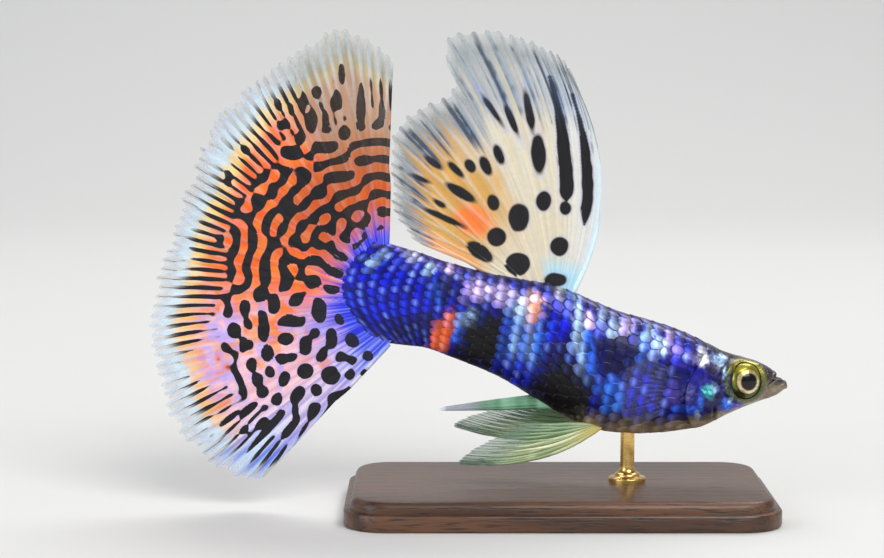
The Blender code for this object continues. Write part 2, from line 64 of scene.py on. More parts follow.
# Body sections from snout to stalk: s, top, bottom, half width, corner roundness
BODY = (
    (0.00, 0.05, -0.34, 0.42, 1.00),
    (0.35, 0.14, -0.76, 0.66, 1.00),
    (0.74, 0.18, -1.05, 0.86, 0.95),
    (0.90, 0.60, -1.16, 0.93, 0.90),
    (1.30, 0.82, -1.38, 1.12, 0.85),
    (2.00, 0.99, -1.90, 1.42, 0.82),
    (3.50, 1.11, -3.12, 1.84, 0.84),
    (5.00, 1.30, -4.32, 2.12, 0.90),
    (6.50, 1.73, -4.96, 2.28, 0.95),
    (8.00, 2.05, -5.46, 2.38, 0.97),
    (10.0, 2.28, -5.94, 2.40, 1.00),
    (12.5, 2.44, -6.12, 2.26, 1.00),
    (15.0, 2.90, -5.54, 2.04, 1.00),
    (17.0, 3.27, -4.85, 1.82, 1.00),
    (19.6, 3.20, -3.98, 1.56, 1.00),
    (22.5, 3.10, -3.44, 1.28, 1.00),
    (25.5, 3.24, -3.10, 1.00, 0.98),
    (28.3, 3.46, -3.20, 0.70, 0.90),
    (30.7, 3.60, -3.36, 0.42, 0.80),
)
WIDEST = 0.42
TAIL_END = 30.7
TAIL_MIDDLE = 0.37
TAIL_CURVE_ABOVE = 0.144
TAIL_CURVE_BELOW = 0.216
TAIL_CURVE_FROM = 23.0
WEDGE = 1.7
SKIN_END = TAIL_END + WEDGE
# Rounded ends stop at this share of a quarter turn
ALMOST = 0.93
GILL_EDGE = ((1.9, 5.70), (0.6, 6.25), (-1.2, 6.80), (-2.6, 6.75), (-3.9, 6.10), (-5.4, 4.60))
GILL_SWELL = 0.14

# Eyes, mouth and nostrils
EYE_S = 2.89
EYE_H = -0.36
EYE_RADIUS = 1.26
EYE_HALF_DEPTH = 0.80
EYE_OUT = 1.20
EYE_CLEAR = 0.05
EYE_FORWARD = 17.0
EYE_UP = 6.0
PUPIL_RADIUS = 0.58
PUPIL_DOME = 0.10
GAPE_FRONT = (0.79, 0.20)
GAPE_CORNER = (1.36, -0.46)
GAPE_SLIT = 0.13
GAPE_OPEN = 0.6
GAPE_ROWS = 24
LIP_RADIUS = 0.18
UPPER_LIP = ((1.30, 0.98, -0.26), (0.98, 0.90, 0.16), (0.84, 0.52, 0.42), (0.83, 0.00, 0.44))
LOWER_LIP = ((1.16, 0.96, -0.46), (0.72, 0.80, -0.02), (0.28, 0.52, 0.02), (0.14, 0.00, -0.02))
NOSTRILS = ((1.45, 0.58, 0.13), (2.02, 0.74, 0.10))

# The skin lies inside the solids by the depth of its scales
SKIN_DEPTH = 0.07
CHIN = 0.20
NOSE = 0.20
NOSE_ROWS = 6
JAW_FOLD = (1.62, -0.82, 0.55, 0.09, 122.0)
HEAD_END = 7.2
HEAD_ROWS = 180
BODY_ROWS = 190
SKIN_COLUMNS = 240
UNWRAP_LENGTH = 32.0

# Scales
SCALE_FROM = 5.2
SCALE_PITCH = 0.80
SCALE_RANKS = 25
SCALE_LENGTH = 0.95
SCALE_HALF_WIDTH = 0.63
SCALE_GRID = 10
SCALE_THICK = 0.035
PATCH_HALF = 0.0015

# Tail fin, as in the solids
GAP = 0.25
FAN_CENTRE = (28.03, 0.37)
FAN_EDGE_ANGLES = (76.9, -67.3)
FAN_EDGE_RADII = (
    (0.00, 16.0),
    (0.07, 18.3),
    (0.17, 17.8),
    (0.27, 17.4),
    (0.43, 16.2),
    (0.52, 16.2),
    (0.64, 17.0),
    (0.74, 17.7),
    (0.88, 17.9),
    (1.00, 16.6),
)
FAN_RAYS = 17
FAN_FORKS = (0.38, 0.66)
FAN_WAVE = 0.75
FAN_WAVES = 1.6
FAN_CURL = 2.2
FAN_CURL_TO = 0.34

# Dorsal fin: its root line, then u, angle, length and bow of its rays
DORSAL_ROOT = ((15.95, 2.75), (20.30, 2.85))
DORSAL = (
    (0.00, 77.5, 15.5, 2.10),
    (0.10, 74.6, 16.9, 1.80),
    (0.20, 69.4, 17.9, 1.50),
    (0.30, 63.0, 18.7, 1.15),
    (0.38, 56.6, 18.8, 0.90),
    (0.43, 54.2, 17.4, 0.80),
    (0.47, 54.4, 15.3, 0.70),
    (0.58, 43.8, 14.9, 0.50),
    (0.65, 36.9, 14.3, 0.40),
    (0.72, 30.6, 12.9, 0.30),
    (0.80, 25.0, 11.2, 0.25),
    (0.88, 18.6, 10.1, 0.15),
    (1.00, 9.5, 7.0, 0.00),
)
DORSAL_RAYS = 9
DORSAL_FORKS = (0.36, 0.62)
DORSAL_WAVE = 0.55
DORSAL_WAVES = 1.3

# Paired fins and anal fin
PECTORAL_ROOT = ((7.05, -1.15), (7.30, -2.75))
PECTORAL = (
    (0.0, 14.0, 4.6, 0.30),
    (0.3, 2.0, 5.4, 0.15),
    (0.7, -18.0, 5.0, 0.0),
    (1.0, -36.0, 3.6, -0.2),
)
PECTORAL_RAYS = 13
PECTORAL_FORKS = (0.5, 0.8)
PECTORAL_SPREAD = 34.0
PECTORAL_SINK = 0.9
PECTORAL_CUP = 0.35
PELVIC_START = (11.55, -5.35)
PELVIC_ROOT = ((0.0, 0.0), (1.2, 0.1))
PELVIC = (
    (0.0, 0.0, 10.6, -1.15),
    (0.3, 2.5, 9.8, -0.85),
    (0.65, 9.0, 6.9, -0.35),
    (1.0, 18.0, 4.4, 0.0),
)
PELVIC_RAYS = 7
PELVIC_FORKS = (0.45, 0.75)
PELVIC_SIDE = 0.55
PELVIC_SPREAD = 9.0
PELVIC_FLARE = 0.35
PELVIC_DROP = {"right": 27.0, "left": 17.0}
ANAL_ROOT = (15.4, -4.9)
ANAL_ANGLE = -16.0
ANAL = (
    (0.0, 0.75, 0.42),
    (0.25, 0.62, 0.38),
    (0.5, 0.50, 0.32),
    (0.8, 0.30, 0.27),
    (1.0, 0.16, 0.16),
)
ANAL_LENGTH = 8.1
ANAL_UNDER = 0.55
SCALLOP = 0.24
RAY_STEPS = 64
RAY_SIDES = 8
RAY_PROUD = 0.014

# The fins' thickness at the root, the edge and each ray, and how ragged their edges are
TAIL_THICK = (0.34, 0.10, 0.07)
TAIL_FRINGE = 0.28
DORSAL_THICK = (0.34, 0.10, 0.07)
DORSAL_FRINGE = 0.22
PELVIC_THICK = (0.26, 0.08, 0.08)
PELVIC_FRINGE = 0.14
PECTORAL_THICK = (0.16, 0.06, 0.06)
PECTORAL_FRINGE = 0.10

# Stand
BASE_LENGTH = 30.0
BASE_WIDTH = 17.0
BASE_HEIGHT = 2.0
BASE_CORNER = 3.0
ROD_RADIUS = 0.50
ROD_S = 9.9
ROD_SUNK = 1.0
COLLAR_RADIUS = 1.30

# Camera and light
CAMERA_LENS = 100.0
SENSOR = 36.0
CAMERA_FAR = 171.9
CAMERA_UP = 6.0
CAMERA_LOOKS_AT = (-8.26, 0.0, 16.34)
LIGHTS_AIM = (-0.006, 0.0, 0.016)
ROOM_LIGHT = (0.90, 0.93, 1.0, 1.0)


def srgb(red, green, blue):
    """A colour as a screen shows it, made linear."""
    seen = np.array((red, green, blue), float)
    return np.where(seen <= 0.04045, seen / 12.92, ((seen + 0.055) / 1.055) ** 2.4)


COLOURS = {
    "royal": srgb(0.06, 0.10, 0.82),
    "deep": srgb(0.04, 0.05, 0.36),
    "sky": srgb(0.20, 0.46, 1.00),
    "ice": srgb(0.70, 0.84, 1.00),
    "lilac": srgb(0.80, 0.70, 0.95),
    "violet": srgb(0.42, 0.34, 0.86),
    "black": srgb(0.035, 0.030, 0.055),
    "dusk": srgb(0.12, 0.11, 0.26),
    "orange": srgb(0.98, 0.42, 0.16),
    "pink": srgb(1.00, 0.74, 0.68),
    "cyan": srgb(0.30, 0.80, 0.80),
    "olive": srgb(0.27, 0.25, 0.18),
    "beige": srgb(0.70, 0.63, 0.52),
    "silver": srgb(0.72, 0.72, 0.74),
    "mauve": srgb(0.36, 0.32, 0.47),
    "brown": srgb(0.30, 0.24, 0.20),
    "gold": srgb(0.86, 0.70, 0.22),
    "white": srgb(0.97, 0.97, 0.97),
}
# How much marks of dull colours and of the others shine
MATT_COLOURS = ("black", "dusk", "olive", "beige", "orange")
MATT_SHINE = 0.12
BRIGHT_SHINE = 0.8

# Marks along the flank, in photograph pixels: across, down, half length, half height, tilt, colour, strength.
# The white, ice and silver marks, and the lilac and violet ones along the back, are painted highlights. They
# are glints of light on the scales, laid partly over the fish's own pale iridescent scales.
BODY_MARKS_AND_GLINTS = (
    (395, 290, 45, 40, 0, "royal", 0.8),
    (373, 262, 8, 5, 0, "ice", 0.7),
    (384, 255, 8, 5, 0, "ice", 0.6),
    (413, 257, 9, 6, 20, "silver", 0.6),
    (430, 268, 6, 6, 0, "ice", 0.95),
    (450, 268, 4, 5, 0, "lilac", 0.8),
    (412, 274, 3, 3, 0, "ice", 0.8),
    (437, 291, 3, 14, -10, "sky", 0.8),
    (448, 284, 9, 12, 0, "black", 0.75),
    (428, 318, 11, 9, 0, "dusk", 0.7),
    (408, 326, 30, 11, 8, "deep", 0.75),
    (480, 289, 12, 10, 15, "lilac", 0.9),
    (503, 293, 13, 11, 20, "lilac", 0.85),
    (470, 316, 8, 12, 30, "ice", 0.75),
    (458, 333, 6, 10, 30, "sky", 0.7),
    (443, 330, 9, 22, 28, "orange", 1.0),
    (440, 344, 8, 8, 0, "orange", 0.8),
    (484, 338, 24, 34, 10, "black", 1.0),
    (466, 352, 16, 10, 0, "black", 0.7),
    (525, 335, 19, 40, 8, "sky", 0.85),
    (515, 338, 4, 24, 6, "ice", 0.55),
    (529, 345, 4, 26, 4, "ice", 0.45),
    (521, 362, 5, 14, 0, "royal", 0.6),
    (518, 372, 14, 18, 0, "royal", 0.8),
    (533, 304, 11, 16, 10, "pink", 1.0),
    (532, 305, 6, 7, 0, "orange", 0.7),
    (521, 307, 9, 14, 10, "ice", 0.7),
    (561, 322, 10, 18, 0, "royal", 0.9),
    (562, 348, 9, 16, 0, "deep", 0.8),
    (579, 335, 6, 38, -6, "ice", 0.95),
    (589, 350, 6, 28, -8, "sky", 0.9),
    (588, 318, 6, 9, -20, "lilac", 0.8),
    (560, 289, 6, 3, 10, "white", 0.8),
    (620, 350, 28, 24, 10, "black", 0.78),
    (636, 362, 18, 12, 0, "deep", 0.5),
    (563, 388, 33, 34, 0, "black", 1.0),
    (612, 392, 13, 20, 0, "sky", 0.95),
    (638, 392, 14, 22, 0, "royal", 1.0),
    (602, 314, 6, 5, 30, "ice", 0.8),
    (614, 323, 5, 9, -20, "ice", 0.85),
    (627, 324, 8, 6, 20, "lilac", 0.85),
    (643, 340, 6, 9, -20, "sky", 0.8),
    (649, 330, 5, 6, -20, "ice", 0.9),
    (659, 343, 5, 12, -15, "ice", 0.95),
    (668, 336, 5, 7, -20, "lilac", 0.8),
    (675, 344, 7, 9, -20, "violet", 0.85),
    (664, 374, 15, 20, 0, "black", 0.6),
    (672, 388, 5, 12, -5, "violet", 0.9),
    (686, 389, 7, 9, 0, "silver", 0.15),
    (684, 406, 16, 4, 5, "sky", 0.6),
    (700, 354, 6, 8, -15, "white", 0.95),
    (690, 352, 7, 7, 0, "violet", 0.6),
    (717, 357, 8, 5, 25, "ice", 0.95),
    (723, 369, 3, 5, 0, "ice", 0.7),
    (699, 398, 3, 12, 0, "sky", 0.9),
    (706, 388, 7, 7, 0, "cyan", 0.9),
    (712, 386, 4, 5, 0, "ice", 0.6),
    (696, 412, 3, 5, 0, "ice", 0.7),
    (726, 402, 6, 7, 0, "sky", 0.95),
    (729, 398, 3, 3, 0, "ice", 0.8),
    (737, 403, 6, 5, 0, "violet", 0.8),
    (708, 402, 11, 7, 0, "dusk", 0.6),
    (592, 423, 8, 5, 20, "gold", 0.8),
)

# Dark marks of the tail: across, down, half length and half height in pixels
TAIL_SPOTS = (
    (352.6, 341.0, 7.5, 7.5),
    (330.2, 377.2, 9.0, 9.0),
    (304.4, 372.9, 7.5, 7.5),
    (305.2, 347.0, 6.5, 9.0),
    (331.0, 340.2, 6.0, 10.0),
    (323.0, 355.0, 4.0, 6.0),
    (319.0, 311.8, 7.5, 11.0),
    (312.1, 282.5, 7.0, 6.5),
    (295.8, 300.6, 6.0, 6.0),
    (286.3, 279.9, 6.0, 11.0),
    (289.7, 322.9, 8.5, 7.0),
    (262.2, 329.8, 6.0, 13.0),
    (285.4, 340.2, 6.5, 6.5),
    (280.3, 360.8, 5.5, 5.5),
    (266.5, 355.6, 6.0, 8.0),
    (250.2, 367.7, 5.0, 6.0),
    (256.2, 382.3, 6.0, 7.0),
    (261.3, 394.4, 6.0, 6.0),
    (275.1, 402.1, 5.0, 5.0),
    (282.9, 380.6, 4.5, 7.0),
    (243.3, 433.1, 5.0, 5.0),
    (263.9, 273.0, 6.0, 16.0),
    (260.5, 295.4, 8.0, 8.0),
    (272.5, 305.7, 6.0, 10.0),
    (243.3, 310.9, 5.0, 8.0),
    (232.9, 333.3, 7.0, 8.0),
    (241.6, 347.0, 4.0, 8.0),
    (313.8, 261.0, 8.0, 5.0),
    (319.0, 245.5, 5.0, 5.0),
    (294.9, 241.2, 6.0, 6.0),
    (251.9, 240.3, 5.0, 12.0),
    (288.0, 261.0, 9.0, 4.0),
    (245.0, 269.6, 3.5, 8.0),
    (313.5, 219.4, 5.0, 5.0),
    (287.2, 207.5, 8.0, 11.0),
    (258.5, 202.7, 7.0, 8.0),
    (272.8, 191.5, 5.0, 8.0),
    (303.1, 177.2, 7.0, 9.0),
    (291.9, 153.2, 10.0, 7.0),
    (325.4, 148.5, 12.0, 6.0),
    (363.7, 161.2, 9.0, 5.0),
    (338.2, 177.2, 14.0, 6.0),
    (319.1, 193.1, 8.0, 7.0),
    (344.6, 134.1, 5.5, 6.5),
    (299.9, 138.9, 4.0, 6.0),
    (325.4, 121.3, 3.5, 9.0),
    (311.1, 121.3, 6.0, 10.0),
    (303.1, 103.8, 4.0, 9.0),
    (336.6, 101.4, 5.5, 10.0),
    (316.7, 93.4, 5.0, 6.0),
    (341.4, 75.1, 4.0, 10.0),
    (360.5, 107.0, 4.5, 22.0),
    (381.3, 115.0, 3.0, 12.0),
    (278.4, 105.4, 4.0, 6.0),
    (291.1, 110.2, 3.0, 6.0),
    (284.0, 125.3, 6.0, 5.0),
    (245.7, 150.0, 5.0, 5.0),
    (228.2, 178.8, 4.0, 8.0),
)
# Dark dashes of the tail that lie along its rays: across, down, half length, half width
TAIL_DASHES = (
    (296.6, 397.0, 9.0, 6.0),
    (313.0, 413.3, 9.0, 5.0),
    (260.5, 426.2, 8.0, 5.0),
    (246.7, 412.4, 11.0, 4.0),
    (227.8, 421.1, 12.0, 3.0),
    (266.5, 431.4, 24.0, 4.0),
    (289.7, 429.7, 13.0, 4.0),
    (336.2, 273.0, 10.0, 5.0),
)
# Dark marks of the dorsal fin: across, down, half length, half width, tilt down to the right
DORSAL_SPOTS = (
    (559.0, 246.2, 9.2, 9.2, 0),
    (517.8, 263.8, 12.0, 11.5, 0),
    (518.6, 217.3, 14.0, 10.2, 90),
    (496.4, 236.6, 9.5, 9.2, 0),
    (543.2, 200.6, 9.7, 7.5, 95),
    (564.8, 208.0, 6.7, 5.6, 90),
    (493.2, 202.4, 8.0, 5.8, 75),
    (480.1, 251.5, 14.5, 7.2, 37),
    (555.5, 279.6, 11.0, 6.5, 0),
    (537.9, 153.3, 19.0, 7.0, 86),
    (528.5, 112.0, 20.0, 4.0, 79),
    (498.5, 154.2, 10.5, 4.6, 68),
    (485.3, 165.6, 10.5, 4.9, 65),
    (470.0, 165.6, 6.9, 4.9, 55),
    (455.5, 169.0, 10.5, 3.6, 45),
    (432.7, 162.0, 11.0, 3.0, 36),
    (461.6, 192.7, 17.0, 5.0, 32),
    (439.7, 203.3, 7.5, 2.6, 31),
    (443.2, 217.3, 22.0, 3.0, 24),
    (491.0, 109.0, 17.0, 2.8, 56),
    (511.0, 120.0, 18.0, 3.0, 66),
    (419.0, 178.0, 10.0, 2.4, 22),
)
# Long dark stripes of the dorsal fin as chains of places, then their half width
DORSAL_STRIPES = (
    (((549, 78), (558, 112), (563, 148), (566, 181), (566, 200)), 7.0),
    (((572, 96), (581, 129), (586, 165), (587, 196), (584, 224)), 5.6),
)

# The dorsal fin's orange glow, like its spots
DORSAL_GLOW = (474, 220, 22, 15, 40)

# How soft the edges of the fins' dark marks are
MARK_SOFT = 0.13

# Tail pattern: step and size of its grid, the distance between like marks, and its rounds of growth
PATTERN_STEP = 1.6
PATTERN_START = (120.0, 30.0)
PATTERN_SIZE = (288, 256)
MARK_PITCH = 16.5
STREAK_PITCH = 9.2
DIRECTIONS = 12
ROUNDS = 9
SPOT_GROWTH = 1.12


# Shape helpers


def smoothstep(low, high, x):
    t = np.clip((np.asarray(x, float) - low) / (high - low), 0.0, 1.0)
    return t * t * (3 - 2 * t)


def between(a, b, t):
    return a + (b - a) * t


def hump(x, middle, width):
    """A smooth bump: 1 at its middle, almost gone two widths away."""
    return np.exp(-(((x - middle) / width) ** 2))


def eased(table, x, column=1):
    """Values in a column of a table of sizes at x, on a smooth curve through its rows."""
    rows = np.asarray(table, float)
    places, values = rows[:, 0], rows[:, column]
    low = np.maximum(np.arange(len(rows)) - 1, 0)
    high = np.minimum(np.arange(len(rows)) + 1, len(rows) - 1)
    slopes = (values[high] - values[low]) / (places[high] - places[low])
    x = np.asarray(x, float)
    i = np.clip(np.searchsorted(places, x, side="right") - 1, 0, len(rows) - 2)
    span = places[i + 1] - places[i]
    t = np.clip((x - places[i]) / span, 0.0, 1.0)
    return (
        (2 * t**3 - 3 * t**2 + 1) * values[i]
        + (t**3 - 2 * t**2 + t) * slopes[i] * span
        + (3 * t**2 - 2 * t**3) * values[i + 1]
        + (t**3 - t**2) * slopes[i + 1] * span
    )


def read_grid(grid, x, y, soft=False):
    """The value at a place between a grid's points, blended from the four round it."""
    i, j = np.floor(x).astype(int), np.floor(y).astype(int)
    tx, ty = x - i, y - j
    if soft:
        tx, ty = smoothstep(0, 1, tx), smoothstep(0, 1, ty)
        i, j = i % (len(grid) - 1), j % (len(grid) - 1)
    low = between(grid[i, j], grid[i + 1, j], tx)
    high = between(grid[i, j + 1], grid[i + 1, j + 1], tx)
    return between(low, high, ty)


def unit(vectors):
    return vectors / np.maximum(np.linalg.norm(vectors, axis=-1, keepdims=True), 1e-12)


def swung(s):
    """How far the swing of the tail carries the fish's middle to its left at s."""
    return SWING * np.maximum(0.0, (s - SWING_FROM) / SWING_LENGTH) ** 2


def at(s, y, h):
    """Places on the fish as world points in metres, in its pose on the stand."""
    s, y, h = np.broadcast_arrays(s, y, h)
    x = SNOUT_X - s * math.cos(PITCH) + h * math.sin(PITCH)
    z = SNOUT_Z + s * math.sin(PITCH) + h * math.cos(PITCH)
    return np.stack((x, y + swung(s), z), axis=-1) * MM


def in_world(places):
    return at(*np.moveaxis(places, -1, 0))


def from_world(points):
    """The way back from world points in metres to (s, y, h)."""
    back = SNOUT_X - points[..., 0] / MM
    up = points[..., 2] / MM - SNOUT_Z
    s = back * math.cos(PITCH) + up * math.sin(PITCH)
    h = up * math.cos(PITCH) - back * math.sin(PITCH)
    return s, points[..., 1] / MM - swung(s), h


def on_photo(points):
    """Where world points show in the photograph, in pixels."""
    return PHOTO_X + points[..., 0] / MM / PIXEL, PHOTO_Y - points[..., 2] / MM / PIXEL


def gill_edge(h):
    return eased(tuple(sorted(GILL_EDGE)), h)


def stalk_pull(h):
    curve = np.where(h > TAIL_MIDDLE, TAIL_CURVE_ABOVE, TAIL_CURVE_BELOW)
    return curve * (h - TAIL_MIDDLE) ** 2


def back_and_belly(s):
    """The heights of the body's top and bottom at station s."""
    return eased(BODY, s), eased(BODY, s, 2)


def body_point(s, angle, grow=0.0):
    """The body's surface at station s, at an angle round the section from its left side up."""
    s, angle = np.broadcast_arrays(np.asarray(s, float), np.asarray(angle, float))
    top, bottom = eased(BODY, s) + grow, eased(BODY, s, 2) - grow
    width, power = eased(BODY, s, 3) + grow, eased(BODY, s, 4)
    middle = top - WIDEST * (top - bottom)
    across, up = np.cos(angle), np.sin(angle)
    y = width * np.sign(across) * np.abs(across) ** power
    reach = np.where(up > 0, top - middle, middle - bottom)
    h = middle + reach * np.sign(up) * np.abs(up) ** power
    swell = smoothstep(2.9, 6.0, s) * smoothstep(0.3, 0.0, s - gill_edge(h)) * np.abs(across) ** 0.5
    y = y + np.copysign(GILL_SWELL * swell, across)
    # Behind its last section the stalk thins to a wedge between the fin's two faces
    y = y * np.cos(np.clip((s - TAIL_END) / WEDGE, 0, 1) * math.pi / 2 * ALMOST)
    return s - smoothstep(TAIL_CURVE_FROM, TAIL_END, s) * stalk_pull(h), y, h


def girth_angles(stations, shares, samples=480):
    """For each station, the angles at which shares of the way round the section fall."""
    angles = np.linspace(-math.pi / 2, 1.5 * math.pi, samples + 1)
    _, y, h = body_point(np.asarray(stations)[:, None], angles[None, :])
    steps = np.hypot(np.diff(y, axis=1), np.diff(h, axis=1))
    run = np.concatenate((np.zeros((len(stations), 1)), np.cumsum(steps, axis=1)), axis=1)
    girth = run[:, -1]
    shares = np.broadcast_to(shares, (len(stations), np.shape(shares)[-1]))
    found = [np.interp(row * run[k, -1], run[k], angles) for k, row in enumerate(shares)]
    return np.array(found), girth


GIRTH_STATIONS = np.linspace(0.0, SKIN_END, 300)
GIRTH_SHARES = np.linspace(0.0, 1.0, 361)
GIRTH_ANGLES, GIRTHS = girth_angles(GIRTH_STATIONS, GIRTH_SHARES)


def angle_at(s, share):
    """The angle at a share of the way round the body, read between the rows of GIRTH_ANGLES."""
    x = np.clip(s / SKIN_END, 0, 1) * (len(GIRTH_STATIONS) - 1.001)
    y = (share % 1.0) * (len(GIRTH_SHARES) - 1.001)
    return read_grid(GIRTH_ANGLES, x, y)


# Mesh helpers


def grid_faces(rows, columns, wrap=False):
    index = np.arange(rows * columns).reshape(rows, columns)
    if wrap:
        index = np.concatenate((index, index[:, :1]), axis=1)
    corners = (index[:-1, :-1], index[:-1, 1:], index[1:, 1:], index[1:, :-1])
    return np.stack(corners, axis=-1).reshape(-1, 4)


def end_faces(ring):
    """Closes a ring of an even number of points with a strip of quads from side to side."""
    half = len(ring) // 2
    return np.array([(ring[k], ring[k + 1], ring[-2 - k], ring[-1 - k]) for k in range(half - 1)])


def closed_faces(rings, sides):
    """The faces of rings of points one behind another, closed at both ends."""
    ring = np.arange(sides)
    ends = (end_faces(ring[::-1]), end_faces(ring + (rings - 1) * sides))
    return np.concatenate((grid_faces(rings, sides, wrap=True), *ends))


def sheet_faces(rows, columns):
    """The faces of a thin sheet: its front, its back and the rim that joins them."""
    count = rows * columns
    front = grid_faces(rows, columns)
    index = np.arange(count).reshape(rows, columns)
    rim = np.concatenate((index[0, :-1], index[:-1, -1], index[-1, :0:-1], index[:0:-1, 0]))
    after = np.roll(rim, -1)
    edge = np.stack((after, rim, rim + count, after + count), axis=-1)
    return np.concatenate((front, front[:, ::-1] + count, edge))


def outward(points, faces):
    """The faces turned so that their closed surface faces out."""
    a, b, c, d = (points[faces[:, k]] for k in range(4))
    volume = (np.cross(a, b) * c).sum() + (np.cross(a, c) * d).sum()
    return faces if volume > 0 else faces[:, ::-1]


def new_mesh(name, points, faces):
    faces = outward(points, faces)
    mesh = bpy.data.meshes.new(name)
    mesh.vertices.add(len(points))
    mesh.vertices.foreach_set("co", np.ascontiguousarray(points, np.float32).ravel())
    mesh.loops.add(faces.size)
    mesh.loops.foreach_set("vertex_index", np.ascontiguousarray(faces, np.int32).ravel())
    mesh.polygons.add(len(faces))
    mesh.polygons.foreach_set("loop_start", np.arange(0, faces.size, 4, dtype=np.int32))
    mesh.update(calc_edges=True)
    mesh.validate()
    mesh.shade_smooth()
    return mesh


def read_all(items, field, kind, size=1):
    """A field of all of a mesh's points, corners or faces as one array."""
    found = np.empty(len(items) * size, kind)
    items.foreach_get(field, found)
    return found


def mesh_points(mesh):
    return read_all(mesh.vertices, "co", np.float32, 3).reshape(-1, 3).astype(float)


def paint(mesh, name, values):
    """Keeps a number or a colour for each point of the mesh, for its material to read.

    Values for only the first points, such as a sheet's front, are repeated over the rest.
    """
    values = np.asarray(values, np.float32)
    count = len(mesh.vertices)
    if values.size <= count:
        layer = mesh.attributes.new(name, "FLOAT", "POINT")
        layer.data.foreach_set("value", np.resize(values, count))
        return
    layer = mesh.attributes.new(name, "FLOAT_COLOR", "POINT")
    full = np.ones((count, 4), np.float32)
    full[:, :3] = np.resize(values, (count, 3))
    layer.data.foreach_set("color", full.ravel())


def set_map(mesh, across, up):
    layer = mesh.uv_layers.new(name="OFBake")
    both = np.stack((across, up), axis=-1)
    layer.data.foreach_set("uv", np.ascontiguousarray(both, np.float32).ravel())


def lay_out(mesh, across, up):
    """The bake map, from one place for each point of the mesh."""
    corners = read_all(mesh.loops, "vertex_index", np.int32)
    across, up = np.broadcast_arrays(across, up)
    set_map(mesh, across.ravel()[corners], up.ravel()[corners])


def lay_out_round(mesh, across, turn, up_from, up_size):
    """Lays a round shape out in a band. turn is the share of the way round, kept whole in each face."""
    corners = read_all(mesh.loops, "vertex_index", np.int32)
    starts = read_all(mesh.polygons, "loop_start", np.int32)
    counts = read_all(mesh.polygons, "loop_total", np.int32)
    high = turn[corners]
    high = high + np.round(np.repeat(high[starts], counts) - high)
    up_from = np.broadcast_to(up_from, len(mesh.vertices))[corners]
    set_map(mesh, across[corners], up_from + up_size * high)


def put_in_scene(name, data):
    obj = bpy.data.objects.new(name, data)
    bpy.context.scene.collection.objects.link(obj)
    return obj


def settled_mesh(obj):
    """The plain mesh that an object's modifiers make. The object itself goes."""
    bpy.context.view_layer.update()
    mesh = bpy.data.meshes.new_from_object(obj.evaluated_get(bpy.context.evaluated_depsgraph_get()))
    bpy.data.objects.remove(obj)
    return mesh


def add(name, mesh, finish, slot, *replaced):
    """A finished piece: it rides on the fish's one body and stands for the solids named."""
    piece = put_in_scene(name, mesh)
    mesh.materials.clear()
    mesh.materials.append(finish)
    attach(piece, "root")
    if replaced:
        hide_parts(*replaced)
    return piece


def tube(path, radii, sides):
    """Points and faces of a closed tube along a path of points, with a radius at each."""
    ahead = unit(np.gradient(path, axis=0))
    side = unit(np.cross(ahead, (0.0, 0.0, 1.0)))
    over = np.cross(side, ahead)
    turn = np.linspace(0, 2 * math.pi, sides, endpoint=False)[None, :, None]
    ring = side[:, None] * np.cos(turn) + over[:, None] * np.sin(turn)
    points = path[:, None] + ring * radii[:, None, None]
    return points.reshape(-1, 3), closed_faces(len(path), sides)


# Colour helpers


def noise_line(seed, count):
    """A smooth random function of a number from 0 to 1, about -1 to 1, with count swings."""
    values = np.random.default_rng(seed).uniform(-1, 1, count + 3)

    def value(x):
        place = np.clip(x, 0, 1) * count
        i = np.floor(place).astype(int)
        return between(values[i], values[i + 1], smoothstep(0, 1, place - i))

    return value


def noise_plane(seed, size):
    """A smooth random function of a place, about -1 to 1, with bumps of the given size."""
    values = np.random.default_rng(seed).uniform(-1, 1, (256, 256))

    def value(x, y):
        return read_grid(values, np.asarray(x) / size, np.asarray(y) / size, soft=True)

    return value


def blot(px, py, across, down, length, height, tilt=0.0):
    """How deep inside a tilted oval a place lies: 1 at its middle, 0 on its edge, below 0 outside."""
    turn = math.radians(tilt)
    x, y = px - across, py - down
    along = x * math.cos(turn) + y * math.sin(turn)
    beside = y * math.cos(turn) - x * math.sin(turn)
    return 1 - np.hypot(along / length, beside / height)


def tint(colour):
    """A colour as an array, from its name, from a screen's red, green and blue, or as it is."""
    if isinstance(colour, str):
        return COLOURS[colour]
    return srgb(*colour) if isinstance(colour, tuple) else colour


def mix(colour, other, share):
    colour, other = tint(colour), tint(other)
    return colour + (other - colour) * np.asarray(share)[..., None]


def coats(ground, *layers):
    """A ground colour under coats laid on in turn, each a colour and its share."""
    for colour, share in layers:
        ground = mix(ground, colour, share)
    return ground


def streaked(u, seed, coarse, fine):
    """Streaks along the rays, as a function of the place across the fin."""
    return noise_line(seed, coarse)(u) * 0.6 + noise_line(seed + 1, fine)(u) * 0.4


# Body colours


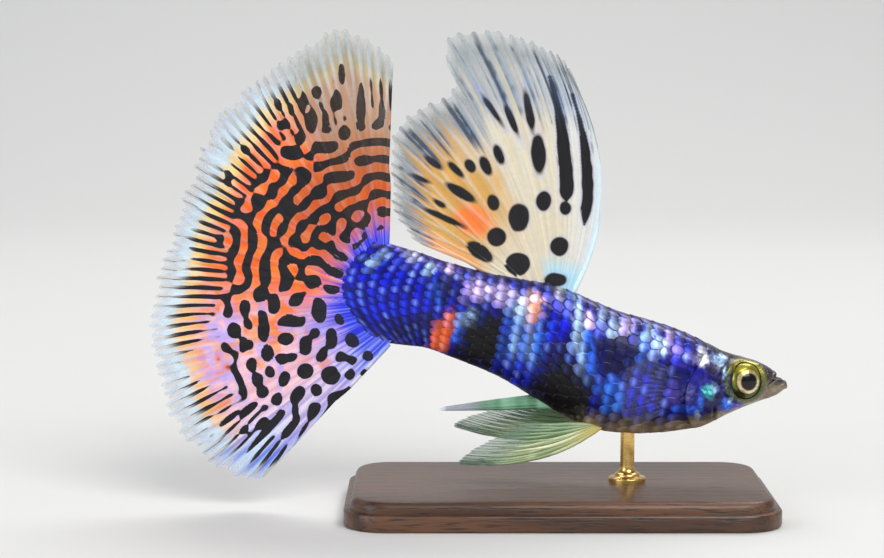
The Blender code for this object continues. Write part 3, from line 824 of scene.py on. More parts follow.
def flank_colour(points):
    """The colour and shine of the body at world points: a graded ground with the photo's marks, among them
    painted highlights.
    """
    s, _, h = from_world(points)
    px, py = on_photo(points)
    top, bottom = back_and_belly(np.clip(s, 0, TAIL_END))
    wobble = noise_plane(11, 9.0)(px, py)
    fine = noise_plane(12, 3.2)(px, py)
    speck = noise_plane(13, 2.1)(px, py)
    rise = (h - bottom) / (top - bottom) + 0.035 * wobble
    belly = smoothstep(0.24, 0.15, rise + 0.03 * fine) * smoothstep(17.5, 13.5, s)
    pale = smoothstep(0.16, 0.06, rise + 0.02 * wobble)
    under = smoothstep(0.10, 0.03, rise) * smoothstep(13.5, 17.5, s)
    head = smoothstep(7.2, 4.6, s)
    snout = smoothstep(2.6, 1.1, s)
    jaw = smoothstep(1.9, 0.9, s) * smoothstep(0.1, -0.35, h)
    throat = smoothstep(4.5, 2.0, s) * smoothstep(0.30, 0.12, rise)
    ground = coats(
        "deep",
        ("royal", 0.55 + 0.35 * wobble),
        ("dusk", 0.45 * smoothstep(-0.2, 0.9, fine) * smoothstep(5, 12, s)),
        ("mauve", 0.75 * smoothstep(0.90, 1.0, rise)),
    )
    cheek = coats(ground, ("black", 0.79 + 0.20 * wobble), ("violet", np.clip(0.10 + 0.35 * fine, 0, 1)))
    ripe = mix("olive", "brown", np.clip(0.4 + fine, 0, 1))
    dull = mix(mix("olive", "brown", 0.4), "dusk", 0.5 * smoothstep(0.6, 0.95, rise))
    colour = coats(
        ground,
        (cheek, head * smoothstep(0.95, 0.75, rise)),
        (mix("dusk", "olive", 0.45 + 0.3 * fine), head * smoothstep(0.66, 0.80, rise)),
        (mix(ripe, "beige", 0.25 + 0.7 * pale), 0.92 * belly),
        ("olive", 0.6 * under),
        (dull, 0.88 * snout),
        (mix("beige", "brown", 0.35), 0.85 * jaw),
        (mix(ripe, "beige", 0.45), 0.8 * throat),
    )
    shine = 0.72 * (1 - 0.75 * belly) * (1 - 0.8 * snout) * (1 - 0.5 * under) * (1 - 0.6 * throat)
    colour = colour * (1 + 0.30 * speck * head)[..., None]
    edge = 0.26 * fine + 0.12 * wobble + 0.16 * speck
    # Some of these marks are painted highlights: glints of light laid in as white, ice and silver
    for *oval, name, strength in BODY_MARKS_AND_GLINTS:
        depth = blot(px, py, *oval) + edge
        share = strength * smoothstep(-0.25 - 0.35 * head, 0.32 + 0.38 * head, depth)
        colour = mix(colour, name, share)
        shine = between(shine, MATT_SHINE if name in MATT_COLOURS else BRIGHT_SHINE, share)
    # The belly stays plain below the marks, from the gills to behind the pectoral fins
    plain = belly * smoothstep(12.6, 11.2, s) * smoothstep(4.0, 6.5, s)
    colour = mix(colour, mix(ripe, "beige", 0.15 + 0.75 * pale), 0.88 * plain)
    shine = shine * (1 - 0.8 * plain)
    return np.clip(colour, 0, 1), np.clip(shine, 0, 1)


# Shader building blocks


def join(tree, socket, value):
    """Links a node's input to another node's output, or sets it to a plain value."""
    if isinstance(value, bpy.types.NodeSocket):
        tree.links.new(value, socket)
    else:
        socket.default_value = value


def connect(tree, made, **inputs):
    """Links or sets a node's inputs by name, with _ for a space."""
    for name, value in inputs.items():
        join(tree, made.inputs[name.replace("_", " ")], value)
    return made


def node(tree, kind, **inputs):
    return connect(tree, tree.nodes.new(kind), **inputs)


def maths(tree, operation, first, second=0.5):
    made = tree.nodes.new("ShaderNodeMath")
    made.operation = operation
    for socket, value in zip(made.inputs, (first, second)):
        join(tree, socket, value)
    return made.outputs[0]


def blend_colour(tree, kind, share, first, second):
    made = tree.nodes.new("ShaderNodeMix")
    made.data_type = "RGBA"
    made.blend_type = kind
    join(tree, made.inputs[0], share)
    for socket, value in ((made.inputs[6], first), (made.inputs[7], second)):
        join(tree, socket, value if isinstance(value, bpy.types.NodeSocket) else (*value, 1.0))
    return made.outputs[2]


def range_of(tree, value, low, high, to_low, to_high):
    made = tree.nodes.new("ShaderNodeMapRange")
    for socket, number in zip(made.inputs[:5], (value, low, high, to_low, to_high)):
        join(tree, socket, number)
    return made.outputs[0]


def read(tree, name, output="Fac"):
    """A number, or a colour with output "Color", that was painted on the mesh."""
    made = tree.nodes.new("ShaderNodeAttribute")
    made.attribute_name = name
    return made.outputs[output]


def on_object(tree):
    return tree.nodes.new("ShaderNodeTexCoord").outputs["Object"]


def new_material(name, **settings):
    finish = bpy.data.materials.new(name)
    finish.use_nodes = True
    shader = finish.node_tree.nodes["Principled BSDF"]
    return finish, finish.node_tree, connect(finish.node_tree, shader, **settings)


def add_socket(tree, name, kind, way="INPUT"):
    return tree.interface.new_socket(name, in_out=way, socket_type="NodeSocket" + kind)


def speckle_group():
    """Fine pigment specks and soft clouding on Object coordinates, with its height for a bump."""
    tree = bpy.data.node_groups.new("Specks and clouding", "ShaderNodeTree")
    for name, value in (("Speck size", 9000.0), ("Cloud size", 1400.0), ("Amount", 0.5)):
        add_socket(tree, name, "Float").default_value = value
    for name in ("Specks", "Clouds", "Height"):
        add_socket(tree, name, "Float", "OUTPUT")
    given = tree.nodes.new("NodeGroupInput")
    where = on_object(tree)
    cells = node(tree, "ShaderNodeTexVoronoi", Vector=where, Scale=given.outputs["Speck size"])
    specks = range_of(tree, cells.outputs["Distance"], 0.10, 0.34, 1.0, 0.0)
    clouds = node(tree, "ShaderNodeTexNoise", Vector=where, Scale=given.outputs["Cloud size"], Detail=3.0)
    spread = range_of(tree, clouds.outputs[0], 0.35, 0.65, 0.0, 1.0)
    node(
        tree,
        "NodeGroupOutput",
        Specks=maths(tree, "MULTIPLY", specks, given.outputs["Amount"]),
        Clouds=maths(tree, "MULTIPLY", spread, given.outputs["Amount"]),
        Height=maths(tree, "ADD", spread, specks),
    )
    return tree


def mottled(tree, specks, speck_size, cloud_size, amount, clouded, specked):
    """The group's outputs and the painted colour, darkened by its clouds and its specks."""
    group = tree.nodes.new("ShaderNodeGroup")
    group.node_tree = specks
    connect(tree, group, Speck_size=speck_size, Cloud_size=cloud_size, Amount=amount)
    colour = read(tree, "colour", "Color")
    for output, shade in (("Clouds", clouded), ("Specks", specked)):
        if shade:
            colour = blend_colour(tree, "MULTIPLY", group.outputs[output], colour, shade)
    return group.outputs, colour


def inked(tree, colour):
    """The colour under its dark marks, and how dark each place is."""
    dark = range_of(tree, read(tree, "mark"), -MARK_SOFT, MARK_SOFT, 0.0, 1.0)
    return blend_colour(tree, "MIX", dark, colour, read(tree, "ink", "Color")), dark


def bump(tree, shader, height, depth, strength):
    made = node(tree, "ShaderNodeBump", Strength=strength, Distance=depth * MM, Height=height)
    connect(tree, shader, Normal=made.outputs["Normal"])


def skin_material(specks):
    """Wet skin: the marks' colours, dark pigment specks, metallic where the skin glitters. There, flakes of
    random brightness add partly uneven tone and partly painted glitter of light.
    """
    finish, tree, shader = new_material("wet skin", Coat_Weight=0.35, Coat_Roughness=0.14, IOR=1.40)
    detail, marks = mottled(tree, specks, 7000.0, 1500.0, 0.45, (0.72, 0.72, 0.78), (0.25, 0.22, 0.28))
    shine = read(tree, "shine")
    # Where the skin shines, flakes of random brightness lighten or darken its colour: partly uneven tone,
    # partly painted glitter of light
    flakes = node(tree, "ShaderNodeTexVoronoi", Vector=on_object(tree), Scale=5200.0)
    apart = node(tree, "ShaderNodeSeparateColor", Color=flakes.outputs["Color"])
    lit = tree.nodes.new("ShaderNodeVectorMath")
    lit.operation = "SCALE"
    connect(tree, lit, Vector=marks, Scale=range_of(tree, apart.outputs[0], 0.2, 1.0, 0.45, 1.9))
    connect(
        tree,
        shader,
        Base_Color=blend_colour(tree, "MIX", shine, marks, lit.outputs[0]),
        Metallic=maths(tree, "MULTIPLY", shine, 0.7),
        Roughness=range_of(tree, detail["Clouds"], 0.0, 0.45, 0.24, 0.42),
    )
    bump(tree, shader, detail["Height"], 0.012, 0.6)
    return finish


def scale_material(specks):
    """Thin bright plates: colour and glitter from the marks, with painted highlights and shade, growth rings,
    a wet coat.
    """
    finish, tree, shader = new_material("scales", Specular_IOR_Level=0.3, Coat_Roughness=0.10, IOR=1.45)
    _, marks = mottled(tree, specks, 8000.0, 2200.0, 0.4, None, (0.45, 0.42, 0.55))
    shine = read(tree, "shine")
    rings = maths(tree, "SINE", maths(tree, "MULTIPLY", read(tree, "ring"), 46.0))
    connect(
        tree,
        shader,
        Base_Color=marks,
        Metallic=shine,
        Coat_Weight=range_of(tree, shine, 0.1, 0.5, 0.10, 0.35),
        Roughness=range_of(tree, rings, -1.0, 1.0, 0.28, 0.42),
    )
    bump(tree, shader, rings, 0.006, 0.5)
    return finish


def fin_material(name, specks, roughness, cross_joints, marked=False):
    """A thin web: marks and clearness from the mesh, jointed rays and fine grain as bump."""
    finish, tree, shader = new_material(name, Coat_Weight=0.25, Coat_Roughness=0.15, IOR=1.38)
    detail, marks = mottled(tree, specks, 11000.0, 2600.0, 0.35, (0.84, 0.84, 0.88), (0.62, 0.60, 0.68))
    cover = read(tree, "cover")
    if marked:
        marks, dark = inked(tree, marks)
        change = maths(tree, "SUBTRACT", read(tree, "ink cover"), cover)
        cover = maths(tree, "ADD", cover, maths(tree, "MULTIPLY", change, dark))
    rough = range_of(tree, detail["Clouds"], 0.0, 0.35, roughness, roughness + 0.15)
    connect(tree, shader, Base_Color=marks, Alpha=cover, Roughness=rough)
    joints = maths(tree, "SINE", maths(tree, "MULTIPLY", read(tree, "along"), cross_joints))
    ridges = maths(tree, "MULTIPLY", maths(tree, "MULTIPLY", joints, read(tree, "ray")), 0.35)
    bump(tree, shader, maths(tree, "ADD", ridges, detail["Clouds"]), 0.02, 0.7)
    return finish


def ray_material(specks):
    """Slim fin rays: the web's colours and marks, glossier and solid."""
    finish, tree, shader = new_material("fin rays", Coat_Weight=0.2, Coat_Roughness=0.12, IOR=1.4)
    detail, ground = mottled(tree, specks, 9000.0, 3200.0, 0.3, (0.80, 0.80, 0.86), None)
    rough = range_of(tree, detail["Clouds"], 0.0, 0.3, 0.28, 0.45)
    connect(tree, shader, Base_Color=inked(tree, ground)[0], Roughness=rough)
    joints = maths(tree, "SINE", maths(tree, "MULTIPLY", read(tree, "along"), 260.0))
    bump(tree, shader, maths(tree, "ADD", joints, detail["Clouds"]), 0.006, 0.5)
    return finish


def eye_material(specks):
    """A wet eye: painted rings with fine radial threads in the iris and a hard clear coat."""
    finish, tree, shader = new_material("eye", Coat_Weight=0.45, Coat_Roughness=0.03, IOR=1.3)
    detail, marks = mottled(tree, specks, 9000.0, 4200.0, 0.5, (0.62, 0.60, 0.50), None)
    rough = range_of(tree, detail["Clouds"], 0.0, 0.5, 0.18, 0.34)
    connect(tree, shader, Base_Color=marks, Metallic=read(tree, "shine"), Roughness=rough)
    bump(tree, shader, detail["Clouds"], 0.01, 0.4)
    return finish


def wood_material():
    """Dark oiled walnut: long rings with fine pores, glossier on the polished grain."""
    finish, tree, shader = new_material("oiled walnut", Coat_Weight=0.25, Coat_Roughness=0.22)
    where = on_object(tree)
    place = node(tree, "ShaderNodeMapping", Vector=where, Scale=(60.0, 420.0, 420.0)).outputs[0]
    warp = node(tree, "ShaderNodeTexNoise", Vector=place, Scale=1.2, Detail=4.0)
    bands = node(tree, "ShaderNodeTexWave", Vector=place, Scale=0.55, Distortion=7.0, Detail=3.0)
    bands.bands_direction = "Y"
    pores_at = node(tree, "ShaderNodeMapping", Vector=where, Scale=(500.0, 6500.0, 6500.0))
    pores = node(tree, "ShaderNodeTexNoise", Vector=pores_at.outputs[0], Scale=1.0, Detail=2.0)
    grain = maths(tree, "MULTIPLY", bands.outputs["Fac"], 0.65)
    grain = maths(tree, "ADD", grain, maths(tree, "MULTIPLY", warp.outputs[0], 0.45))
    pale = blend_colour(tree, "MIX", grain, srgb(0.20, 0.115, 0.07), srgb(0.42, 0.27, 0.17))
    dark = range_of(tree, pores.outputs[0], 0.52, 0.66, 0.0, 0.75)
    colour = blend_colour(tree, "MIX", dark, pale, srgb(0.10, 0.055, 0.035))
    connect(tree, shader, Base_Color=colour, Roughness=range_of(tree, grain, 0.0, 1.0, 0.34, 0.5))
    height = maths(tree, "SUBTRACT", maths(tree, "MULTIPLY", grain, 0.3), dark)
    bump(tree, shader, height, 0.03, 0.6)
    return finish


def brass_material():
    """Lathe-turned brass: fine rings round the rod, slightly tarnished patches."""
    finish, tree, shader = new_material("turned brass", Metallic=1.0)
    where = on_object(tree)
    rings_at = node(tree, "ShaderNodeMapping", Vector=where, Scale=(300.0, 300.0, 30000.0))
    rings = node(tree, "ShaderNodeTexNoise", Vector=rings_at.outputs[0], Scale=1.0, Detail=1.0).outputs[0]
    tarnish = node(tree, "ShaderNodeTexNoise", Vector=where, Scale=900.0, Detail=4.0)
    patches = range_of(tree, tarnish.outputs[0], 0.45, 0.68, 0.0, 0.7)
    colour = blend_colour(tree, "MIX", patches, srgb(0.88, 0.74, 0.45), srgb(0.66, 0.49, 0.27))
    turned = range_of(tree, rings, 0.3, 0.7, 0.16, 0.30)
    rough = maths(tree, "ADD", turned, maths(tree, "MULTIPLY", patches, 0.2))
    connect(tree, shader, Base_Color=colour, Roughness=rough)
    bump(tree, shader, rings, 0.004, 0.5)
    return finish


# Skin


def head_relief(s, y, h):
    """How far the head's surface stands out or in: eye rim, gill cover, cheek plates, throat."""
    d = np.hypot(s - EYE_S, h - EYE_H)
    side = smoothstep(0.25, 0.8, np.abs(y))
    relief = 0.075 * hump(d, 1.44, 0.15) * side - 0.05 * hump(d, 1.78, 0.14) * side
    past = s - gill_edge(h)
    on_cover = smoothstep(-4.8, -3.6, h) * smoothstep(2.0, 1.2, h)
    relief = relief + 0.11 * smoothstep(-1.5, -0.10, past) * smoothstep(0.06, -0.02, past) * on_cover
    relief = relief - 0.10 * hump(past, 0.16, 0.13) * on_cover
    # A bowed line parts the cheek from the gill cover
    front = 4.75 - 0.10 * (h + 1.6) ** 2
    on_cheek = smoothstep(-4.0, -3.2, h) * smoothstep(0.9, 0.1, h) * side
    relief = relief - 0.045 * hump(s, front, 0.11) * on_cheek
    relief = relief + 0.03 * hump(s - front, -0.22, 0.2) * on_cheek
    low = eased(BODY, np.clip(s, 0, TAIL_END), 2)
    under = smoothstep(0.9, 0.1, h - low) * smoothstep(1.8, 2.6, s) * smoothstep(6.6, 5.6, s)
    relief = relief - 0.10 * hump(np.abs(y) - 0.22, 0.10 * (s - 2), 0.11) * under
    # The chin is fuller than the plain sections
    relief = relief + CHIN * smoothstep(0.75, 0.0, h - low) * smoothstep(3.6, 0.9, s)
    # The jaw bone shows as a fold from the corner of the mouth down and back
    relief = relief - 0.05 * smoothstep(-0.6, 0.6, blot(s, h, *JAW_FOLD)) * side
    for place, height, radius in NOSTRILS:
        gap = np.hypot(s - place, h - height)
        relief = relief + 0.035 * hump(gap, radius * 1.5, 0.06) * side
        relief = relief - 0.16 * hump(gap, 0.0, radius * 0.8) * side
    return relief


def skin_sheet():
    """The whole flesh as one closed surface from the lower jaw's tip to inside the tail's root."""
    head = np.linspace(0.0, HEAD_END, HEAD_ROWS, endpoint=False)
    body = np.linspace(HEAD_END, SKIN_END, BODY_ROWS)
    stations = np.concatenate((head, body))
    angles, _ = girth_angles(stations, np.linspace(0, 1, SKIN_COLUMNS, endpoint=False))
    s, y, h = body_point(stations[:, None], angles)
    flat = np.stack((s, y, h), axis=-1)
    around = np.roll(flat, -1, axis=1) - np.roll(flat, 1, axis=1)
    normal = unit(np.cross(around, np.gradient(flat, axis=0)))
    settled = (stations < TAIL_END)[:, None, None]
    normal = np.where(settled, normal, normal * (1, 1, 0))
    outward_sign = np.sign((normal[..., 1] * y).sum())
    depth = head_relief(s, y, h) - SKIN_DEPTH * smoothstep(4.2, 6.4, stations)[:, None]
    flat = flat + normal * outward_sign * depth[..., None]
    # A rounded nose before the first section
    first = flat[0]
    middle = first.mean(axis=0)
    rows = [flat]
    for k in range(1, NOSE_ROWS + 1):
        turn = k / NOSE_ROWS * math.pi / 2 * ALMOST
        row = middle + (first - middle) * math.cos(turn) ** 0.8
        row[:, 0] = first[:, 0] - NOSE * math.sin(turn)
        rows.insert(0, row[None])
    return np.concatenate(rows)


def ball(side, segments, rings, clear=0.0):
    """Points and faces of one eye's flattened ball in fish places, and its points in its own."""
    rise = np.linspace(0.012, math.pi - 0.012, rings)[:, None]
    around = np.linspace(0, 2 * math.pi, segments, endpoint=False)[None]
    x, y, z = np.broadcast_arrays(np.sin(rise) * np.cos(around), np.sin(rise) * np.sin(around), np.cos(rise))
    radii = np.array((EYE_RADIUS + clear, EYE_RADIUS + clear, EYE_HALF_DEPTH + clear))
    local = np.stack((x, y, z), axis=-1) * radii
    places = local @ np.array(eye_turn(side)).T + np.array((EYE_S, side * EYE_OUT, EYE_H))
    return places.reshape(-1, 3), closed_faces(rings, segments), local.reshape(-1, 3)


def eye_turn(side):
    """Turns a ball's pole to look out to one side, a little forward and up."""
    up = Matrix.Rotation(math.radians(EYE_UP * side), 3, "X")
    forward = Matrix.Rotation(math.radians(EYE_FORWARD * side), 3, "Z")
    return up @ forward @ Matrix.Rotation(math.radians(-90 * side), 3, "X")


def smooth_path(places, count=48):
    """A rounded line through four given places on one side and their mirror on the other."""
    half = np.array(places, float)
    whole = np.concatenate((half, (half * (1, -1, 1))[-2::-1]))
    run = np.linspace(0, len(whole) - 1, count)
    table = np.column_stack((np.arange(len(whole)), whole))
    return np.stack([eased(table, run, k) for k in (1, 2, 3)], axis=-1)


def lip(places):
    path = smooth_path(places)
    taper = LIP_RADIUS * (0.55 + 0.45 * np.sin(np.linspace(0, math.pi, len(path))) ** 0.6)
    return tube(path, taper, 20)


def gape():
    """The thin wedge that opens the mouth, from before the lips to the mouth's corner."""
    start = np.array(GAPE_FRONT)
    length = math.hypot(*(np.array(GAPE_CORNER) - start))
    along = (np.array(GAPE_CORNER) - start) / length
    across = np.array((-along[1], along[0]))
    ring = []
    for step in np.linspace(-GAPE_OPEN, length, GAPE_ROWS):
        half = GAPE_SLIT / 2 * (1.0 if step < 0.2 else max(0.25, 1 - (step - 0.2) / 0.7))
        for open_by, ends in ((half, (2.0, -2.0)), (-half, (-2.0, 2.0))):
            s, h = start + along * step + across * open_by
            ring += [(s, y, h) for y in ends]
    return np.array(ring), closed_faces(GAPE_ROWS, 4)


def helper(name, places, faces):
    """A mesh that only takes part in a Boolean."""
    return put_in_scene(name, new_mesh(name, in_world(places), faces))


def make_skin(finish):
    sheet = skin_sheet()
    skin = helper("skin shape", sheet.reshape(-1, 3), closed_faces(*sheet.shape[:2]))
    cutters = [helper("socket", *ball(side, 96, 48, EYE_CLEAR)[:2]) for side in (-1, 1)]
    joined = [helper("lip", *lip(half)) for half in (UPPER_LIP, LOWER_LIP)]
    cutters.append(helper("gape", *gape()))
    for kind, others in (("UNION", joined), ("DIFFERENCE", cutters)):
        for other in others:
            step = skin.modifiers.new(kind, "BOOLEAN")
            step.operation = kind
            step.object = other
            step.solver = "MANIFOLD"
    mesh = settled_mesh(skin)
    for obj in (*joined, *cutters):
        bpy.data.objects.remove(obj)
    mesh.name = "skin"
    mesh.shade_smooth()
    points = mesh_points(mesh)
    colour, shine = flank_colour(points)
    s, y, h = from_world(points)
    lips = smoothstep(1.5, 1.0, s) * smoothstep(0.12, 0.0, np.abs(h - 0.25 + 0.55 * (s - 0.8)))
    rim = hump(np.hypot(s - EYE_S, h - EYE_H), 1.34, 0.20) * smoothstep(0.4, 0.9, np.abs(y))
    # lit makes the rim round the eye yellower on its top half: painted light falling from above
    lit = smoothstep(0.1, 1.0, np.sin(np.arctan2(h - EYE_H, s - EYE_S)))
    # Painted shade: the skin just behind the gill cover's edge is darkened where the cover overhangs it
    shade_behind_cover = hump(s - gill_edge(h), 0.12, 0.16) * smoothstep(2.0, 1.2, h)
    colour = coats(
        colour,
        ("brown", 0.35 * lips),
        (mix((0.34, 0.40, 0.14), (0.78, 0.72, 0.26), lit), 0.85 * rim),
        ("black", 0.45 * shade_behind_cover),
    )
    paint(mesh, "colour", colour)
    paint(mesh, "shine", np.maximum(shine, 0.5 * rim))
    across, up = unwrap_places(s, y, h)
    lay_out_round(mesh, across, up, 0.01, 0.96)
    return add("skin", mesh, finish, "skin", "head", "trunk", "tail_stalk")


def unwrap_places(s, y, h):
    """Where a place on the body falls on the skin's unwrap: along the body, and round it."""
    s = np.clip(s, 0, TAIL_END)
    top, bottom = back_and_belly(s)
    middle = top - WIDEST * (top - bottom)
    reach = np.where(h > middle, top - middle, middle - bottom)
    turn = np.arctan2((h - middle) / reach, y / eased(BODY, s, 3))
    return 0.02 + 0.96 * s / UNWRAP_LENGTH, (turn + math.pi / 2) % (2 * math.pi) / (2 * math.pi)


# Scales


def scale_roots():
    """Where each scale grows: staggered rows round the body, behind the gill cover."""
    rows = np.arange(SCALE_FROM, SKIN_END - 0.5, SCALE_PITCH)
    found = []
    for k, row in enumerate(rows):
        found += [(row, (rank + 0.5 * (k % 2)) / SCALE_RANKS % 1.0) for rank in range(SCALE_RANKS)]
    found = np.array(found)
    station = found[:, 0]
    girth = np.interp(station, GIRTH_STATIONS, GIRTHS)
    _, y, h = body_point(station, angle_at(station, found[:, 1]))
    bare = station < gill_edge(h) + 0.25
    nape = (h > 1.05) & (station > 5.3)
    last = TAIL_END - 0.1 + 0.9 * np.random.default_rng(39).uniform(0, 1, len(found))
    kept = (~bare | nape) & (station < last)
    return found[kept], girth[kept], y[kept]


def scale_side(name, roots, girth, finish, seed):
    """All scales of one side as one mesh of thin domed plates, each turned up at its rear edge."""
    n = SCALE_GRID
    draw = np.random.default_rng(seed)
    line = np.linspace(-1, 1, n)
    i, j = np.meshgrid(line, line, indexing="ij")
    back = (i * np.sqrt(1 - j**2 / 2)).ravel()
    beside = (j * np.sqrt(1 - i**2 / 2)).ravel()
    size = 1 + 0.05 * draw.standard_normal(len(roots))[:, None]
    fade = 1 - 0.45 * smoothstep(TAIL_END - 0.5, SKIN_END, roots[:, :1])
    length = SCALE_PITCH * SCALE_LENGTH * size * fade
    width = girth[:, None] / SCALE_RANKS * SCALE_HALF_WIDTH * size
    station = np.clip(roots[:, :1] + 0.10 + back * length, 0.5, SKIN_END)
    angles = angle_at(station, roots[:, 1:2] + beside * width / girth[:, None])
    here, ahead, around = (
        np.stack(body_point(station + step, angles + turn, -SKIN_DEPTH), axis=-1)
        for step, turn in ((0.0, 0.0), (0.05, 0.0), (0.0, 0.03))
    )
    normal = unit(np.cross(around - here, ahead - here))
    y, h = here[..., 1], here[..., 2]
    top, bottom = back_and_belly(station)
    facing = np.stack((0 * y, y, h - (top - WIDEST * (top - bottom))), axis=-1)
    normal = normal * np.sign((normal * facing).sum(-1, keepdims=True))
    lift = 0.032 + 0.034 * back + 0.006 * (1 - beside**2)
    lift = lift * (1 + 0.15 * draw.standard_normal(len(roots))[:, None])
    low_down = smoothstep(0.26, 0.06, (h - bottom) / (top - bottom))
    lift = (lift * (1 - 0.55 * low_down) + 0.012 * low_down)[..., None]
    plates = np.stack((here + normal * lift, here + normal * (lift - SCALE_THICK)), axis=1)
    step = 2 * n * n
    every = sheet_faces(n, n) + (np.arange(len(roots)) * step)[:, None, None]
    mesh = new_mesh(name, in_world(plates.reshape(-1, 3)), every.reshape(-1, 4))
    # Each plate takes its root's colour. It has a painted highlight across the middle of its exposed part,
    # and painted shade mixed with dark pigment in the pocket at its front. Dark pigment runs along its rim,
    # and its underside carries painted shade.
    centre = here[:, n * n // 2]
    flank, shine = flank_colour(in_world(centre))
    local, _ = flank_colour(in_world(here))
    gloss, brightest = shine[:, None, None], flank.max(axis=1)[:, None, None]
    reach = np.hypot(back, beside)

    def drawn(low, high):
        return draw.uniform(low, high, (len(roots), 1, 1))

    tone = 1 + drawn(-0.50, 0.35) * (0.25 + 0.75 * gloss)
    strong = 0.30 + 0.70 * gloss
    # painted_glint is a painted highlight: a tall streak of light across each scale, tinted sky blue on some
    # plates and ice white on others
    painted_glint = np.exp(-(((back - 0.56) / 0.19) ** 2) - (beside / 0.62) ** 2)[:, None]
    vivid = smoothstep(0.02, 0.25, brightest)
    painted_glint_blue = drawn(0.0, 1.0) ** 1.6
    painted_glint_white = brightest * (drawn(0.0, 1.0) > 0.62)
    # The front of each plate's exposed part is darkened: partly dark pigment, partly painted shade where the
    # plate ahead overlaps it
    pocket_shade_and_pigment = smoothstep(0.42, 0.02, back)[:, None]
    dark = smoothstep(0.84, 1.0, reach)[:, None]
    colour = (0.68 * local + 0.32 * flank[:, None]) * tone
    colour = between(colour, colour * 0.30, 0.85 * pocket_shade_and_pigment * strong)
    colour = colour * (0.86 + 1.5 * painted_glint * vivid * strong)
    colour = colour + (COLOURS["sky"] * 1.15 - colour) * painted_glint * vivid * strong * 0.55 * painted_glint_blue
    colour = colour + (COLOURS["ice"] * 1.1 - colour) * painted_glint * painted_glint_white * strong * 0.75
    colour = between(colour, colour * 0.35, dark * 0.65 * strong)
    colour = np.clip(colour, 0, 1)
    # The second half of each plate's points, its underside, is painted half as bright: painted shade under
    # the scale
    paint(mesh, "colour", np.stack((colour, colour * 0.5), axis=1))
    paint(mesh, "shine", np.repeat(0.72 * shine, step))
    paint(mesh, "ring", reach)
    across, up = unwrap_places(roots[:, 0], centre[:, 1], centre[:, 2])
    patch_x = across[:, None] + PATCH_HALF * np.tile(back, 2)
    patch_y = 0.01 + 0.96 * up[:, None] + PATCH_HALF * np.tile(beside, 2)
    lay_out(mesh, patch_x, patch_y)
    return add(name, mesh, finish, "skin")


def make_scales(finish):
    roots, girth, y = scale_roots()
    for side, word in SIDES:
        kept = (y * side > 0) | ((np.abs(y) < 1e-9) & (side > 0))
        scale_side("scales_" + word, roots[kept], girth[kept], finish, 40 + side)


# Eyes


def make_eyes(finish):
    for side, word in SIDES:
        places, faces, local = ball(side, 128, 90)
        outside = local[:, 2] > 0
        reach = np.hypot(local[:, 0], local[:, 1])
        axis = np.array(eye_turn(side)) @ np.array((0.0, 0.0, 1.0))
        dome = PUPIL_DOME * np.clip(1 - (reach / (PUPIL_RADIUS * 1.5)) ** 2, 0, 1) * outside
        places = places + axis * dome[:, None]
        mesh = new_mesh("eye_" + word, in_world(places), faces)
        s, _, h = places.T
        turn = np.arctan2(h - EYE_H, s - EYE_S)
        threads = noise_line(21, 90)((turn / math.pi + 1) / 2)
        coarse = noise_line(22, 14)((turn / math.pi + 1) / 2)
        upward = np.sin(turn)
        # The outer ring is yellower towards its top: painted light falling from above
        ring = coats(
            (0.26, 0.29, 0.10),
            ((0.84, 0.80, 0.26), np.clip(0.25 + 0.60 * upward + 0.35 * coarse, 0, 1)),
            ((0.45, 0.52, 0.20), 0.3 * np.clip(threads, 0, 1)),
        )
        # The iris is a cream ring with fine threads, painted brighter towards its bottom as a reflection of
        # the light
        iris = coats(
            (0.80, 0.66, 0.30),
            ((1.0, 0.95, 0.78), np.clip(0.60 + 0.35 * threads - 0.30 * upward, 0, 1)),
            ((0.40, 0.24, 0.09), 0.6 * smoothstep(0.66, 0.60, reach)),
        )
        pupil = smoothstep(PUPIL_RADIUS + 0.03, PUPIL_RADIUS - 0.01, reach)
        edge = hump(reach, PUPIL_RADIUS, 0.05) * smoothstep(0.1, -0.6, upward)
        colour = coats(
            ring,
            ((0.16, 0.17, 0.06), 0.55 * hump(reach, 0.89, 0.05)),
            (iris, smoothstep(0.87, 0.81, reach + 0.03 * coarse)),
            ((0.01, 0.01, 0.015), pupil),
            ((0.35, 0.05, 0.03), 0.7 * edge),
            ((0.10, 0.11, 0.07), smoothstep(1.16, 1.25, reach) * outside),
            ((0.05, 0.05, 0.05), 1.0 - outside),
        )
        paint(mesh, "colour", colour)
        paint(mesh, "shine", np.clip(0.75 * (1 - pupil), 0, 1) * outside)
        across, up = local[:, 0] / EYE_RADIUS, local[:, 1] / EYE_RADIUS
        lay_out(mesh, 0.25 + 0.19 * across + 0.5 * ~outside, 0.5 + 0.38 * up)
        add("eye_fine_" + word, mesh, finish, "eye", "eye_" + word)


# Fins

# A fin: the place of a share across and along it, its rays, where they fork, its thickness at
# the root, the edge and each ray, the raggedness of its edge and that edge's seed
Fin = namedtuple("Fin", "place rays forks thick fringe seed")


def forked(v, fork):
    return smoothstep(fork - 0.1, fork + 0.16, v)


def ray_relief(u, v, fin):
    """How high the branching rays stand, 0 to 1: each is one, then two, then four."""
    first, second = fin.forks
    place = u * (fin.rays - 1)
    off = np.abs(place - np.round(place))
    off = np.abs(off - 0.25 * forked(v, first))
    off = np.abs(off - 0.125 * forked(v, second))
    wide = 0.16 - 0.06 * smoothstep(first, first + 0.1, v) - 0.035 * smoothstep(second, second + 0.1, v)
    return np.clip(1 - (off / wide) ** 2, 0, 1)


def edge_growth(fin, u, v, scallop):
    """How much longer the fin is towards its scalloped and ragged edge."""
    ragged = noise_line(fin.seed, fin.rays * 4)(u)
    return (scallop + fin.fringe * ragged) * smoothstep(0.55, 1.0, v)


def thickness(fin, v, relief):
    at_root, at_edge, at_ray = fin.thick
    plain = between(at_root, at_edge, smoothstep(0.0, 0.9, v))
    return plain + at_ray * relief * (1 - 0.5 * smoothstep(0.6, 1.0, v))


